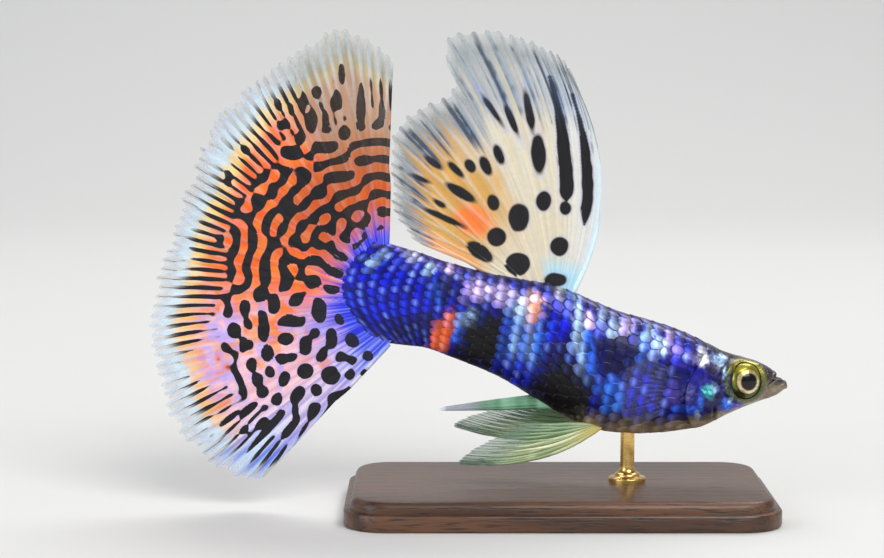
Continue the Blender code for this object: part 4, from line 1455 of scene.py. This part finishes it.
def tail_point(u, v, lengthen):
    """The middle of the tail's web: rays from the stalk's end out to a half-moon edge, in soft waves."""
    height = between(eased(BODY, TAIL_END), eased(BODY, TAIL_END, 2), u)
    curve = np.where(height > TAIL_MIDDLE, TAIL_CURVE_ABOVE, TAIL_CURVE_BELOW)
    lean = 2 * curve * (height - TAIL_MIDDLE)
    steep = np.hypot(1.0, lean)
    root_s = TAIL_END - stalk_pull(height) + GAP / steep
    root_h = height + GAP * lean / steep
    radius = eased(FAN_EDGE_RADII, u) + lengthen
    angle = np.radians(between(*FAN_EDGE_ANGLES, u))
    s = between(root_s, FAN_CENTRE[0] + np.cos(angle) * radius, v)
    h = between(root_h, FAN_CENTRE[1] + np.sin(angle) * radius, v)
    out = np.maximum(v, 0)
    wave = FAN_WAVE * out**1.6 * np.sin(2 * math.pi * (FAN_WAVES * u + 0.15) + 1.2 * v)
    curl = FAN_CURL * out**2 * np.maximum(0.0, 1 - u / FAN_CURL_TO) ** 2
    return at(s, wave + curl, h)


def ray_place(root, table, u, v, lengthen):
    """A place on a rayed fin as (back, up), from its root line and its table of rays."""
    angle = np.radians(eased(table, u))
    reach = (eased(table, u, 2) + lengthen) * v
    bow = eased(table, u, 3) * 4 * v * (1 - v)
    s = between(root[0][0], root[1][0], u) + np.cos(angle) * reach - np.sin(angle) * bow
    h = between(root[0][1], root[1][1], u) + np.sin(angle) * reach + np.cos(angle) * bow
    return s, h


def dorsal_point(u, v, lengthen):
    s, h = ray_place(DORSAL_ROOT, DORSAL, u, v, lengthen)
    wave = DORSAL_WAVE * np.maximum(v, 0) ** 1.5 * np.sin(2 * math.pi * (DORSAL_WAVES * u + 0.1))
    return at(s, wave, h)


def pectoral_point(side):
    def place(u, v, lengthen):
        s, h = ray_place(PECTORAL_ROOT, PECTORAL, u, v, lengthen)
        start = between(PECTORAL_ROOT[0][0], PECTORAL_ROOT[1][0], u)
        turn = math.radians(PECTORAL_SPREAD)
        out = (s - start) * math.sin(turn) + PECTORAL_CUP * v**2 * np.sin(math.pi * u)
        root = eased(BODY, PECTORAL_ROOT[0][0], 3) - PECTORAL_SINK
        return at(start + (s - start) * math.cos(turn), side * (root + out), h)

    return place


def pelvic_point(side, drop):
    def place(u, v, lengthen):
        s, h = ray_place(PELVIC_ROOT, PELVIC, u, v, lengthen)
        turn = math.radians(drop)
        # A turn about the fish's left axis carries back and up towards down
        back = s * math.cos(turn) + h * math.sin(turn)
        up = h * math.cos(turn) - s * math.sin(turn)
        out = PELVIC_SIDE + math.tan(math.radians(PELVIC_SPREAD)) * back + PELVIC_FLARE * (1 - u) * v
        return at(PELVIC_START[0] + back, side * out, PELVIC_START[1] + up)

    return place


def web(name, fin, rows, columns, from_v=0.0):
    """A closed thin web with raised rays, then its places across and along, its relief and its middle."""
    u = np.linspace(0, 1, columns + 1)[None, :]
    v = np.linspace(from_v, 1, rows + 1)[:, None]
    u, v = np.broadcast_arrays(u, v)
    relief = ray_relief(u, v, fin)
    middle = fin.place(u, v, edge_growth(fin, u, v, SCALLOP * (relief - 0.5)))
    normal = unit(np.cross(np.gradient(middle, axis=1), np.gradient(middle, axis=0)))
    half = thickness(fin, v, relief)[..., None] * MM / 2
    points = np.stack((middle + normal * half, middle - normal * half)).reshape(-1, 3)
    mesh = new_mesh(name, points, sheet_faces(rows + 1, columns + 1))
    paint(mesh, "ray", relief)
    paint(mesh, "along", v)
    face = np.array((0.0, 1.0))[:, None, None]
    lay_out(mesh, 0.01 + 0.98 * u, 0.01 + 0.485 * face + 0.475 * (v - from_v) / (1 - from_v))
    return mesh, u, v, relief, middle


def ray_tree():
    """Sweeps a ring along each path it is given, as thick as the path's girth says, with small joints."""
    tree = bpy.data.node_groups.new("Fin rays", "GeometryNodeTree")
    kinds = {
        "Paths": "Geometry",
        "Thickness": "Float",
        "Sides": "Int",
        "Joints": "Float",
        "Seed": "Int",
        "Finish": "Material",
    }
    names = {name: add_socket(tree, name, kind).identifier for name, kind in kinds.items()}
    add_socket(tree, "Rays", "Geometry", "OUTPUT")
    given = tree.nodes.new("NodeGroupInput").outputs
    paths = node(tree, "GeometryNodeMeshToCurve", Mesh=given["Paths"])
    ring = node(tree, "GeometryNodeCurvePrimitiveCircle", Resolution=given["Sides"], Radius=MM)
    girth = node(tree, "GeometryNodeInputNamedAttribute", Name="girth")
    chance = node(tree, "FunctionNodeRandomValue", Seed=given["Seed"])
    join(tree, chance.inputs[2], maths(tree, "SUBTRACT", 1.0, given["Joints"]))
    join(tree, chance.inputs[3], maths(tree, "ADD", 1.0, given["Joints"]))
    size = maths(tree, "MULTIPLY", girth.outputs["Attribute"], given["Thickness"])
    size = maths(tree, "MULTIPLY", size, chance.outputs[1])
    swept = node(
        tree,
        "GeometryNodeCurveToMesh",
        Curve=paths.outputs["Curve"],
        Profile_Curve=ring.outputs["Curve"],
        Scale=size,
        Fill_Caps=True,
    )
    smooth = node(tree, "GeometryNodeSetShadeSmooth", Geometry=swept.outputs["Mesh"])
    whole = node(tree, "GeometryNodeRealizeInstances", Geometry=smooth.outputs["Geometry"]).outputs[0]
    dressed = node(tree, "GeometryNodeSetMaterial", Geometry=whole, Material=given["Finish"])
    node(tree, "NodeGroupOutput", Rays=dressed.outputs["Geometry"])
    return tree, names


def ray_lines(fin, first, last):
    """Each branch of each ray as places across and along the fin: a stem, two arms and their twigs."""
    found = []
    arms_at, twigs_at = fin.forks
    for k in range(fin.rays):
        arm = -1 if k == fin.rays - 1 else 1
        branches = (
            (arm, 1, first),
            (arm, -1, twigs_at - 0.1),
            (-arm, 1, arms_at - 0.1),
            (-arm, -1, twigs_at - 0.1),
        )
        for side, twig, start in branches:
            v = np.linspace(start, last, RAY_STEPS)
            off = side * 0.25 * forked(v, arms_at) + twig * 0.125 * forked(v, twigs_at)
            u = (k + off) / (fin.rays - 1)
            if u.min() > -1e-9 and u.max() < 1 + 1e-9:
                found.append((np.clip(u, 0, 1), v))
    return np.moveaxis(np.array(found), 1, 0)


def make_rays(name, rods, slot, fin, colours):
    """The rays of a fin as slim solid rods in the middle of its web, swept along their paths."""
    (group, names), finish = rods
    u, v = ray_lines(fin, -0.02, 0.985)
    middle = fin.place(u, v, edge_growth(fin, u, v, SCALLOP / 2))
    girth = (thickness(fin, v, 1.0) / 2 + RAY_PROUD) * (1 - 0.85 * smoothstep(0.60, 1.0, v))
    count, steps = u.shape
    mesh = bpy.data.meshes.new(name + " paths")
    index = np.arange(count * steps).reshape(count, steps)
    edges = np.stack((index[:, :-1], index[:, 1:]), axis=-1).reshape(-1, 2)
    mesh.from_pydata(middle.reshape(-1, 3).tolist(), edges.tolist(), [])
    ground, _, mark, ink, _ = colours(u, v, np.ones(u.shape), middle)
    paint(mesh, "girth", girth)
    paint(mesh, "rod", np.repeat(np.arange(count), steps))
    paint(mesh, "along", v)
    paint(mesh, "colour", ground)
    paint(mesh, "mark", mark)
    paint(mesh, "ink", ink)
    guide = put_in_scene(name + " guide", mesh)
    step = guide.modifiers.new("rays", "NODES")
    step.node_group = group
    settings = {"Thickness": 1.0, "Sides": RAY_SIDES, "Joints": 0.05, "Seed": fin.seed, "Finish": finish}
    for word, value in settings.items():
        step[names[word]] = value
    rays = settled_mesh(guide)
    rays.name = name
    turn = (np.arange(len(rays.vertices)) % RAY_SIDES) / RAY_SIDES
    number = read_all(rays.attributes["rod"].data, "value", np.float32)
    along = read_all(rays.attributes["along"].data, "value", np.float32)
    lay_out_round(rays, 0.01 + 0.97 * along, turn, 0.01 + 0.98 * number / count, 0.9 / count)
    return add(name, rays, finish, slot)


# Tail


def tail_hub():
    return on_photo(at(FAN_CENTRE[0], 0.0, FAN_CENTRE[1]))


def aslant(angle):
    """An angle between lines, from a quarter turn one way to a quarter turn the other."""
    return (angle + math.pi / 2) % math.pi - math.pi / 2


def tail_dark():
    """How dark the tail is over the photograph: above 0 is black. It grows from the marks seen there."""
    rows, columns = PATTERN_SIZE
    px = PATTERN_START[0] + np.arange(columns) * PATTERN_STEP
    py = PATTERN_START[1] + np.arange(rows) * PATTERN_STEP
    px, py = np.meshgrid(px, py)
    hub = tail_hub()
    dx, dy = px - hub[0], py - hub[1]
    distance = np.hypot(dx, dy)
    # bearing is 0 straight back, above 0 towards the tail's top and below it towards its lower tip
    bearing = np.degrees(np.arctan2(-dy, -dx))
    seeds = np.zeros(px.shape)
    near = np.zeros(px.shape)
    marks = [(*spot, 0.0) for spot in TAIL_SPOTS]
    for x, y, length, width in TAIL_DASHES:
        marks.append((x, y, length, width, math.degrees(math.atan2(y - hub[1], x - hub[0]))))
    for x, y, length, height, tilt in marks:
        depth = blot(px, py, x, y, SPOT_GROWTH * length, SPOT_GROWTH * height, tilt)
        seeds = np.maximum(seeds, smoothstep(-0.15, 0.35, depth))
        near = np.maximum(near, smoothstep(-0.9, -0.2, depth))
    # Waves of one length make spots and worms. Those of one direction make streaks out or arcs round
    fy = np.fft.fftfreq(rows, PATTERN_STEP)[:, None]
    fx = np.fft.fftfreq(columns, PATTERN_STEP)[None]
    pace = np.hypot(fx, fy)
    heading = np.arctan2(fy, fx)
    ring = hump(pace, 1 / MARK_PITCH, 0.020)
    streak_ring = hump(pace, 1 / STREAK_PITCH, 0.022)
    streaks, arcs, streak_share, arc_share = [], [], [], []
    outwards = np.arctan2(dy, dx) % math.pi
    for k in range(DIRECTIONS):
        way = math.pi * k / DIRECTIONS
        lobe = hump(aslant(heading - way), 0.0, 0.30)
        streaks.append(lobe * streak_ring)
        arcs.append(lobe * ring)
        for turned, shares in ((outwards + math.pi / 2, streak_share), (outwards, arc_share)):
            gap = np.abs(aslant(turned - way))
            shares.append(np.clip(1 - gap * DIRECTIONS / math.pi, 0, 1))
    upper = smoothstep(-12, 8, bearing)
    ends = between(184, 177, upper) + 12 * noise_plane(31, 16.0)(px, py)
    streaky = smoothstep(ends - 14, ends + 14, distance)
    streaky = np.maximum(streaky, smoothstep(-50, -60, bearing) * smoothstep(115, 150, distance))
    ringed = 0.20 * smoothstep(2, 20, bearing) * smoothstep(96, 112, distance)
    ringed = ringed * smoothstep(176, 160, distance)
    bias = between(-0.22, 0.26, upper) + 0.20 * hump(distance, 112, 26) * hump(bearing, 28, 26)
    bias = between(bias, between(-0.26, -0.12, upper), streaky)
    bias = bias + 0.55 * noise_plane(39, 12.0)(px, py) * streaky + 0.16 * noise_plane(40, 24.0)(px, py)
    bias = bias - 0.40 * smoothstep(186, 210, distance) - 0.45 * smoothstep(62, 74, bearing)
    # Close to the stalk the blue ground stays clear of marks but for those placed
    bias = bias - 0.8 * smoothstep(84, 58, distance)
    field = 0.9 * np.random.default_rng(7).standard_normal(px.shape) + 1.2 * seeds
    force = 2.6 * seeds - 0.50 * near * (1 - seeds)
    for _ in range(ROUNDS):
        waves = np.fft.fft2(field)
        calm = np.fft.ifft2(waves * ring).real
        straight, curved = np.zeros(px.shape), np.zeros(px.shape)
        for k in range(DIRECTIONS):
            straight += streak_share[k] * np.fft.ifft2(waves * streaks[k]).real
            curved += arc_share[k] * np.fft.ifft2(waves * arcs[k]).real
        calm = between(calm, curved * 1.2, ringed)
        drive = 2.6 * between(calm, 0.95 * straight, streaky) + bias + force
        field = np.tanh(drive)
    return np.clip(drive, -1.6, 1.6)


def tail_colours(u, v, relief, middle, dark):
    """The tail's colours: its ground, how well it covers, its darkness, and its marks' ink and cover."""
    px, py = on_photo(middle)
    hub = tail_hub()
    distance = np.hypot(px - hub[0], py - hub[1])
    x = np.clip((px - PATTERN_START[0]) / PATTERN_STEP, 0, PATTERN_SIZE[1] - 1.001)
    y = np.clip((py - PATTERN_START[1]) / PATTERN_STEP, 0, PATTERN_SIZE[0] - 1.001)
    field = read_grid(dark.T, x, y)
    wide = noise_plane(32, 34.0)(px, py)
    fine = noise_plane(33, 9.0)(px, py)
    patches = noise_plane(37, 13.0)(px, py)
    flecks = noise_plane(38, 10.0)(px, py)
    streak = streaked(u, 62, 170, 330)
    blue, sky, lilac = (0.12, 0.16, 0.90), (0.45, 0.55, 1.00), (0.72, 0.66, 0.98)
    cream, frost = (1.00, 0.84, 0.50), (0.84, 0.93, 0.98)
    lower = smoothstep(0.55, 0.72, u + 0.03 * wide)
    warm = coats(
        (0.99, 0.40, 0.07),
        ((1.0, 0.58, 0.20), np.clip(0.25 + 0.5 * fine, 0, 1)),
        ((0.66, 0.26, 0.09), 0.60 * smoothstep(0.66, 0.40, v) * smoothstep(0.50, 0.30, u)),
    )
    cool = coats(
        (1.00, 0.66, 0.48),
        ((1.0, 0.50, 0.22), smoothstep(0.0, 0.5, fine + 0.3 * wide)),
        ((0.98, 0.76, 0.80), smoothstep(0.1, 0.5, patches + 0.9 * smoothstep(0.7, 0.95, u))),
        (lilac, 0.7 * smoothstep(0.25, 0.6, flecks + 0.35 * streak)),
    )
    far = distance + 8 * wide + 10 * streak
    base = smoothstep(between(74, 88, lower), between(50, 58, lower), far)
    halo = smoothstep(between(88, 120, lower), between(62, 78, lower), far)
    late = v + 0.03 * wide + 0.025 * streak
    low_lobe = smoothstep(0.86, 0.95, u + 0.02 * wide)
    top_lobe = smoothstep(0.24, 0.14, u + 0.02 * wide)
    pale = mix((0.34, 0.48, 0.98), frost, np.clip(0.5 + 0.9 * streak, 0, 1))
    dull = mix((0.62, 0.57, 0.46), (0.72, 0.40, 0.20), smoothstep(0.62, 0.4, v))
    # Ground colours out along the rays, then the white and blue lower lobe and the dull top one
    ground = coats(
        warm,
        (cool, lower * smoothstep(0.92, 0.70, v)),
        (mix(sky, lilac, 0.5 + 0.5 * streak), between(0.25, 0.75, lower) * halo),
        (mix(blue, sky, np.clip(1.4 * streak - 0.1, 0, 1)), base),
        (cream, smoothstep(0.75, 0.84, late) * (1 - 0.35 * lower)),
        (frost, smoothstep(0.84, 0.91, late)),
        ((0.72, 0.77, 0.85), smoothstep(0.92, 0.98, late)),
        (pale, low_lobe * (1 - 0.6 * base) * (0.55 + 0.45 * smoothstep(0.5, 0.9, v))),
        (dull, 0.8 * top_lobe * smoothstep(0.25, 0.4, v)),
    )
    ground = ground * (1 + 0.22 * streak[..., None])
    ground = mix(ground, frost, 0.35 * relief * smoothstep(0.60, 0.88, v) + 0.07 * relief)
    # A thin lilac edge round the black marks of the lower half
    edge = hump(field, -0.55, 0.30) * smoothstep(0.90, 0.8, v) * (0.08 + 0.62 * lower + 0.3 * halo)
    edge = edge * (1 - base)
    ground = mix(ground, mix(lilac, blue, 0.35 * halo), np.clip(edge, 0, 0.8))
    mark = field + 0.10 * fine - 2.2 * smoothstep(0.10, 0.05, v)
    ink = coats(
        (0.040, 0.030, 0.070),
        ((0.20, 0.14, 0.11), 0.8 * top_lobe),
        ((0.06, 0.07, 0.25), 0.6 * base),
    )
    cover = between(0.97, 0.40, smoothstep(0.84, 0.95, late))
    cover = cover * between(1.0, 0.22, smoothstep(0.93, 1.0, v)) + 0.22 * relief * smoothstep(0.85, 0.95, v)
    ink_cover = 0.98 * (1 - 0.9 * smoothstep(0.82, 0.94, late))
    return np.clip(ground, 0, 1), np.clip(cover, 0, 1), mark, ink, ink_cover


def paint_web(mesh, colour, cover, mark=None, ink=None, ink_cover=None):
    """Paints both faces of a web alike: its ground and, where it has any, its dark marks."""
    paint(mesh, "colour", np.clip(colour, 0, 1))
    paint(mesh, "cover", np.clip(cover, 0, 1))
    if mark is not None:
        paint(mesh, "mark", mark)
        paint(mesh, "ink", ink)
        paint(mesh, "ink cover", np.clip(ink_cover, 0, 1))


def make_marked_fin(word, fin, size, from_v, colours, finish, rods):
    """A patterned fin: its web and its rays, in the same colours."""
    mesh, *places = web(word + "_web", fin, *size, from_v)
    paint_web(mesh, *colours(*places))
    add(word + "_web", mesh, finish, "patterned_fin", word + "_fin")
    make_rays(word + "_rays", rods, "patterned_fin", fin, colours)


def make_tail(finish, rods):
    dark = tail_dark()

    def colours(*places):
        return tail_colours(*places, dark)

    fin = Fin(tail_point, FAN_RAYS, FAN_FORKS, TAIL_THICK, TAIL_FRINGE, 61)
    make_marked_fin("tail", fin, (150, 320), -0.05, colours, finish, rods)


# Dorsal fin


def dorsal_dark(px, py):
    """How deep inside the fin's spots and stripes each place lies, on one scale for all sizes."""
    field = np.full(px.shape, -3.0)
    for *oval, tilt in DORSAL_SPOTS:
        field = np.maximum(field, blot(px, py, *oval, tilt) * min(oval[2:]) / 5)
    for chain, half_width in DORSAL_STRIPES:
        line = np.array(chain, float)
        run = np.linspace(0, len(line) - 1, 40)
        table = np.column_stack((np.arange(len(line)), line))
        for k, (x, y) in enumerate(zip(eased(table, run, 1), eased(table, run, 2))):
            taper = (0.30 + 0.70 * float(smoothstep(0, 24, k))) * float(smoothstep(42, 33, k))
            size = half_width * taper
            field = np.maximum(field, (1 - np.hypot(px - x, py - y) / size) * size / 5)
    return field


def dorsal_colours(u, v, relief, middle):
    """The dorsal fin's colours, like tail_colours."""
    px, py = on_photo(middle)
    wide = noise_plane(34, 26.0)(px, py)
    fine = noise_plane(35, 8.0)(px, py)
    streak = streaked(u, 72, 110, 220)
    late = v + 0.05 * streak + 0.03 * wide
    tips = between(0.62, 0.72, smoothstep(0.45, 0.55, u))
    white = (0.88, 0.89, 0.88)
    glow = blot(px, py, *DORSAL_GLOW)
    ground = coats(
        white,
        ((0.88, 0.84, 0.74), smoothstep(0.04, 0.28, u + 0.05 * wide)),
        ((0.86, 0.66, 0.34), smoothstep(0.42, 0.62, u + 0.06 * wide) * smoothstep(0.15, 0.45, v)),
        ((1.00, 0.52, 0.22), smoothstep(-0.4, 0.5, glow + 0.2 * fine)),
        ((0.98, 0.66, 0.42), 0.8 * smoothstep(0.86, 0.96, u) * smoothstep(0.2, 0.5, v)),
        ((0.70, 0.88, 0.95), smoothstep(0.16, 0.06, v) * smoothstep(0.45, 0.3, u)),
        ((0.36, 0.55, 0.74), smoothstep(tips, tips + 0.18, late) * np.clip(0.55 + 0.9 * streak, 0, 1)),
        ((0.52, 0.58, 0.60), smoothstep(0.80, 0.95, late) * 0.8),
        ((0.86, 0.95, 1.0), smoothstep(0.035, 0.012, u) * smoothstep(0.75, 0.5, v)),
    )
    ground = ground * (1 + 0.14 * streak[..., None])
    ground = mix(ground, white, 0.30 * relief * smoothstep(0.2, 0.6, v))
    field = dorsal_dark(px, py) + 0.10 * fine + 0.07
    ground = mix(ground, (0.70, 0.72, 0.96), 0.40 * hump(field, -0.22, 0.14) * smoothstep(0.6, 0.3, u))
    slate = smoothstep(0.15, 0.55, streak + 0.2 * fine) * smoothstep(tips - 0.02, tips + 0.12, late)
    ground = mix(ground, (0.10, 0.17, 0.27), 0.85 * slate)
    cover = between(0.97, 0.46, smoothstep(tips + 0.02, tips + 0.26, late))
    cover = cover * between(1.0, 0.25, smoothstep(0.92, 1.0, v)) + 0.22 * relief * smoothstep(0.6, 0.9, v)
    cover = np.maximum(cover, slate * 0.8 * smoothstep(1.0, 0.93, v))
    ink = mix((0.045, 0.04, 0.075), (0.16, 0.20, 0.28), smoothstep(tips, tips + 0.2, late))
    return np.clip(ground, 0, 1), cover, 0.8 * field, ink, 0.97 * (1 - 0.7 * smoothstep(0.80, 1.0, v))


def make_dorsal(finish, rods):
    fin = Fin(dorsal_point, DORSAL_RAYS, DORSAL_FORKS, DORSAL_THICK, DORSAL_FRINGE, 71)
    make_marked_fin("dorsal", fin, (170, 256), 0.0, dorsal_colours, finish, rods)


# Paired fins and anal fin


def pelvic_colours(u, v, relief, _):
    """The long pelvic fins' colours, like tail_colours but with no dark marks."""
    streak = noise_line(92, 60)(u)
    pale = np.clip(0.25 + 0.9 * streak, 0, 1) * smoothstep(0.1, 0.3, v) * smoothstep(0.85, 0.45, u + 0.3 * v)
    ground = coats(
        (0.42, 0.54, 0.24),
        ((0.80, 0.72, 0.24), smoothstep(0.40, 0.06, v)),
        ((0.96, 0.97, 0.80), pale),
        ((0.30, 0.50, 0.36), 0.7 * smoothstep(0.35, 0.75, u)),
        ((0.46, 0.60, 0.52), smoothstep(0.55, 0.95, v)),
        ((0.90, 0.95, 0.82), 0.22 * relief),
    )
    cover = between(0.86, 0.30, smoothstep(0.35, 0.95, v)) + 0.25 * relief * smoothstep(0.4, 0.8, v)
    return ground, cover, np.full(u.shape, -1.0), ground, cover


def pectoral_colours(u, v, relief, _):
    ground = coats(
        (0.78, 0.80, 0.82),
        ((0.55, 0.52, 0.42), smoothstep(0.25, 0.0, v)),
        ((0.92, 0.93, 0.90), 0.6 * relief),
    )
    return ground, 0.02 + 0.07 * relief * (1 - 0.6 * v) + 0.2 * smoothstep(0.2, 0.0, v)


def make_paired_fins(finish, rods):
    for side, word in SIDES:
        spread = pectoral_point(side)
        pectoral = Fin(spread, PECTORAL_RAYS, PECTORAL_FORKS, PECTORAL_THICK, PECTORAL_FRINGE, 81)
        hung = pelvic_point(side, PELVIC_DROP[word])
        pelvic = Fin(hung, PELVIC_RAYS, PELVIC_FORKS, PELVIC_THICK, PELVIC_FRINGE, 91)
        for name, fin, size, colours in (
            ("pectoral", pectoral, (60, 120), pectoral_colours),
            ("pelvic", pelvic, (130, 90), pelvic_colours),
        ):
            mesh, *places = web(name + "_web_" + word, fin, *size)
            paint_web(mesh, *colours(*places)[:2])
            add(name + "_web_" + word, mesh, finish, "clear_fin", name + "_fin_" + word)
        make_rays("pelvic_rays_" + word, rods, "clear_fin", pelvic, pelvic_colours)


def make_anal_fin(finish):
    """The male's narrow rod-like anal fin: a tapered rod with its rays raised along it."""
    steps, sides = 120, 48
    t = np.linspace(-0.04, 1, steps)[:, None]
    turn = np.linspace(0, 2 * math.pi, sides, endpoint=False)[None] - math.pi / 2
    tall, wide = eased(ANAL, t), eased(ANAL, t, 2)
    ridge = 1 + 0.07 * np.cos(10 * turn) * smoothstep(0.05, 0.2, t)
    rise = tall * np.sin(turn) * np.where(np.sin(turn) > 0, 1.0, ANAL_UNDER) * ridge
    out = wide * np.cos(turn) * ridge * 0.9
    end = np.sqrt(np.clip(1 - np.maximum(0, (t - 0.95) / 0.05) ** 2, 0.01, 1))
    rise, out = rise * end, out * end
    lean = math.radians(-ANAL_ANGLE)
    back = ANAL_LENGTH * t
    s = ANAL_ROOT[0] + back * math.cos(lean) + rise * math.sin(lean)
    h = ANAL_ROOT[1] + rise * math.cos(lean) - back * math.sin(lean)
    mesh = new_mesh("anal_rod", at(s, out, h).reshape(-1, 3), closed_faces(steps, sides))
    t, turn = np.broadcast_arrays(t, turn)
    ground = coats(
        (0.36, 0.56, 0.42),
        ((0.66, 0.90, 0.76), np.clip(0.4 + 0.6 * noise_line(94, 16)(t), 0, 1) * smoothstep(0.7, 0.2, t)),
        ((0.62, 0.64, 0.70), smoothstep(0.55, 0.8, t)),
        ((0.92, 0.94, 1.0), smoothstep(0.93, 0.98, t)),
    )
    paint(mesh, "colour", ground)
    paint(mesh, "cover", between(0.88, 0.62, smoothstep(0.3, 1.0, t)))
    paint(mesh, "ray", 0.5 + 0.5 * np.cos(10 * turn))
    paint(mesh, "along", t)
    lay_out(mesh, 0.02 + 0.96 * t, 0.02 + 0.96 * ((turn + math.pi / 2) / (2 * math.pi)))
    return add("anal_rod", mesh, finish, "clear_fin", "anal_fin")


# Stand


def from_rings(name, rings, sharp, *finish):
    """A piece of the stand from rings of points in metres, one above another."""
    mesh = new_mesh(name, np.concatenate(rings), closed_faces(len(rings), len(rings[0])))
    mesh.set_sharp_from_angle(angle=math.radians(sharp))
    return add(name, mesh, *finish)


def rounded_outline(length, width, corner, points_per_corner=12):
    """A rectangle with round corners, as (x, y) points."""
    found = []
    for k, (sx, sy) in enumerate(((1, 1), (-1, 1), (-1, -1), (1, -1))):
        for j in range(points_per_corner):
            turn = math.pi / 2 * (k + j / (points_per_corner - 1))
            x = sx * (length / 2 - corner) + corner * math.cos(turn)
            y = sy * (width / 2 - corner) + corner * math.sin(turn)
            found.append((x, y))
    return np.array(found)


def make_plinth(finish):
    """The plinth: a rounded slab with a small step and a softened top edge."""
    profile = [(0.25, 0.0), (0.06, 0.05), (0.0, 0.2), (0.0, 1.05), (0.06, 1.14), (0.22, 1.2), (0.42, 1.22)]
    for a in np.linspace(0, math.pi / 2, 9):
        profile.append((0.45 + 0.55 * (1 - math.cos(a)), 1.42 + 0.58 * math.sin(a)))
    profile += [(1.6, BASE_HEIGHT), (3.0, BASE_HEIGHT)]
    rings = []
    for inset, height in profile:
        corner = max(BASE_CORNER - inset, 0.4)
        outline = rounded_outline(BASE_LENGTH - 2 * inset, BASE_WIDTH - 2 * inset, corner)
        rings.append(np.column_stack((outline, np.full(len(outline), height))) * MM)
    return from_rings("plinth", rings, 35, finish, "stand_wood", "stand_base")


def make_rod(finish):
    """The rod, turned with a stepped collar, from inside the plinth's top up into the belly."""
    foot = at(ROD_S, 0.0, eased(BODY, ROD_S, 2))
    high = foot[2] / MM + ROD_SUNK * 0.6
    low = BASE_HEIGHT - 0.3
    profile = [(0.9, low), (COLLAR_RADIUS, low + 0.02), (COLLAR_RADIUS, BASE_HEIGHT + 0.22)]
    for a in np.linspace(0.3, math.pi / 2, 5):
        profile.append((COLLAR_RADIUS - 0.12 * (1 - math.cos(a)), BASE_HEIGHT + 0.22 + 0.12 * math.sin(a)))
    profile += [(0.98, BASE_HEIGHT + 0.36), (0.90, BASE_HEIGHT + 0.42), (0.88, BASE_HEIGHT + 0.55)]
    for a in np.linspace(0.1, math.pi / 2, 8):
        profile.append((ROD_RADIUS + 0.36 * (1 - math.sin(a)), BASE_HEIGHT + 0.60 + 0.5 * (1 - math.cos(a))))
    profile += [(ROD_RADIUS, z) for z in np.linspace(BASE_HEIGHT + 1.3, high - 0.1, 12)]
    profile += [(ROD_RADIUS * 0.8, high)]
    turn = np.linspace(0, 2 * math.pi, 64, endpoint=False)
    middle = np.array((foot[0], foot[1], 0.0))
    rings = []
    for r, z in profile:
        ring = np.column_stack((r * np.cos(turn), r * np.sin(turn), np.full(len(turn), z)))
        rings.append(ring * MM + middle)
    return from_rings("brass_rod", rings, 40, finish, "stand_brass", "stand_rod")


# Setting


def make_floor():
    """A pale sweep: floor in front, curving up into a backdrop."""
    rows = [(-0.7, 0.0), (0.25, 0.0)]
    for a in np.linspace(0.1, math.pi / 2, 16):
        rows.append((0.25 + 0.25 * math.sin(a), 0.25 * (1 - math.cos(a))))
    rows += [(0.5, 0.9)]
    mesh = bpy.data.meshes.new("floor")
    mesh.from_pydata([(x, y, z) for y, z in rows for x in (-1.2, 1.2)], [], grid_faces(len(rows), 2).tolist())
    mesh.shade_smooth()
    paper = (*srgb(0.86, 0.86, 0.85), 1.0)
    finish, tree, shader = new_material("pale paper", Roughness=0.85, Base_Color=paper)
    grain = node(tree, "ShaderNodeTexNoise", Vector=on_object(tree), Scale=900.0, Detail=2.0)
    bump(tree, shader, grain.outputs[0], 0.02, 0.2)
    mesh.materials.append(finish)
    put_in_scene("floor", mesh)


def aim_at(obj, place, target):
    """Puts a lamp or camera in its place, turned towards its target, both in metres."""
    obj.location = place
    obj.rotation_euler = (Vector(target) - Vector(place)).to_track_quat("-Z", "Y").to_euler()


def make_light(name, place, size, power, colour):
    lamp = bpy.data.lights.new(name, "AREA")
    lamp.shape = "RECTANGLE"
    lamp.size, lamp.size_y = size
    lamp.energy = power
    lamp.color = colour
    aim_at(put_in_scene(name, lamp), place, LIGHTS_AIM)


def make_setting():
    make_floor()
    make_light("key", (0.16, -0.30, 0.34), (0.30, 0.24), 1.55, (1.0, 0.98, 0.95))
    make_light("fill", (-0.36, -0.24, 0.18), (0.30, 0.30), 0.65, (0.93, 0.96, 1.0))
    make_light("rim", (0.05, 0.22, 0.34), (0.40, 0.16), 0.9, (1.0, 1.0, 1.0))
    room = bpy.data.worlds.new("soft room")
    bpy.context.scene.world = room
    room.use_nodes = True
    connect(room.node_tree, room.node_tree.nodes["Background"], Color=ROOM_LIGHT, Strength=0.36)
    data = bpy.data.cameras.new("camera")
    data.lens = CAMERA_LENS
    data.sensor_width = SENSOR
    data.clip_start = 0.01
    camera = put_in_scene("camera", data)
    aim = Vector(CAMERA_LOOKS_AT) * MM
    rise = math.radians(CAMERA_UP)
    aim_at(camera, aim + Vector((0.0, -math.cos(rise), math.sin(rise))) * CAMERA_FAR * MM, aim)
    bpy.context.scene.camera = camera
    bpy.context.scene.view_settings.view_transform = "Standard"


def main():
    specks = speckle_group()
    make_skin(skin_material(specks))
    make_scales(scale_material(specks))
    make_eyes(eye_material(specks))
    patterned = fin_material("patterned fin", specks, 0.38, 260.0, marked=True)
    clear = fin_material("clear fin", specks, 0.30, 110.0)
    rods = ray_tree(), ray_material(specks)
    make_tail(patterned, rods)
    make_dorsal(patterned, rods)
    make_paired_fins(clear, rods)
    make_anal_fin(clear)
    make_plinth(wood_material())
    make_rod(brass_material())
    make_setting()


main()
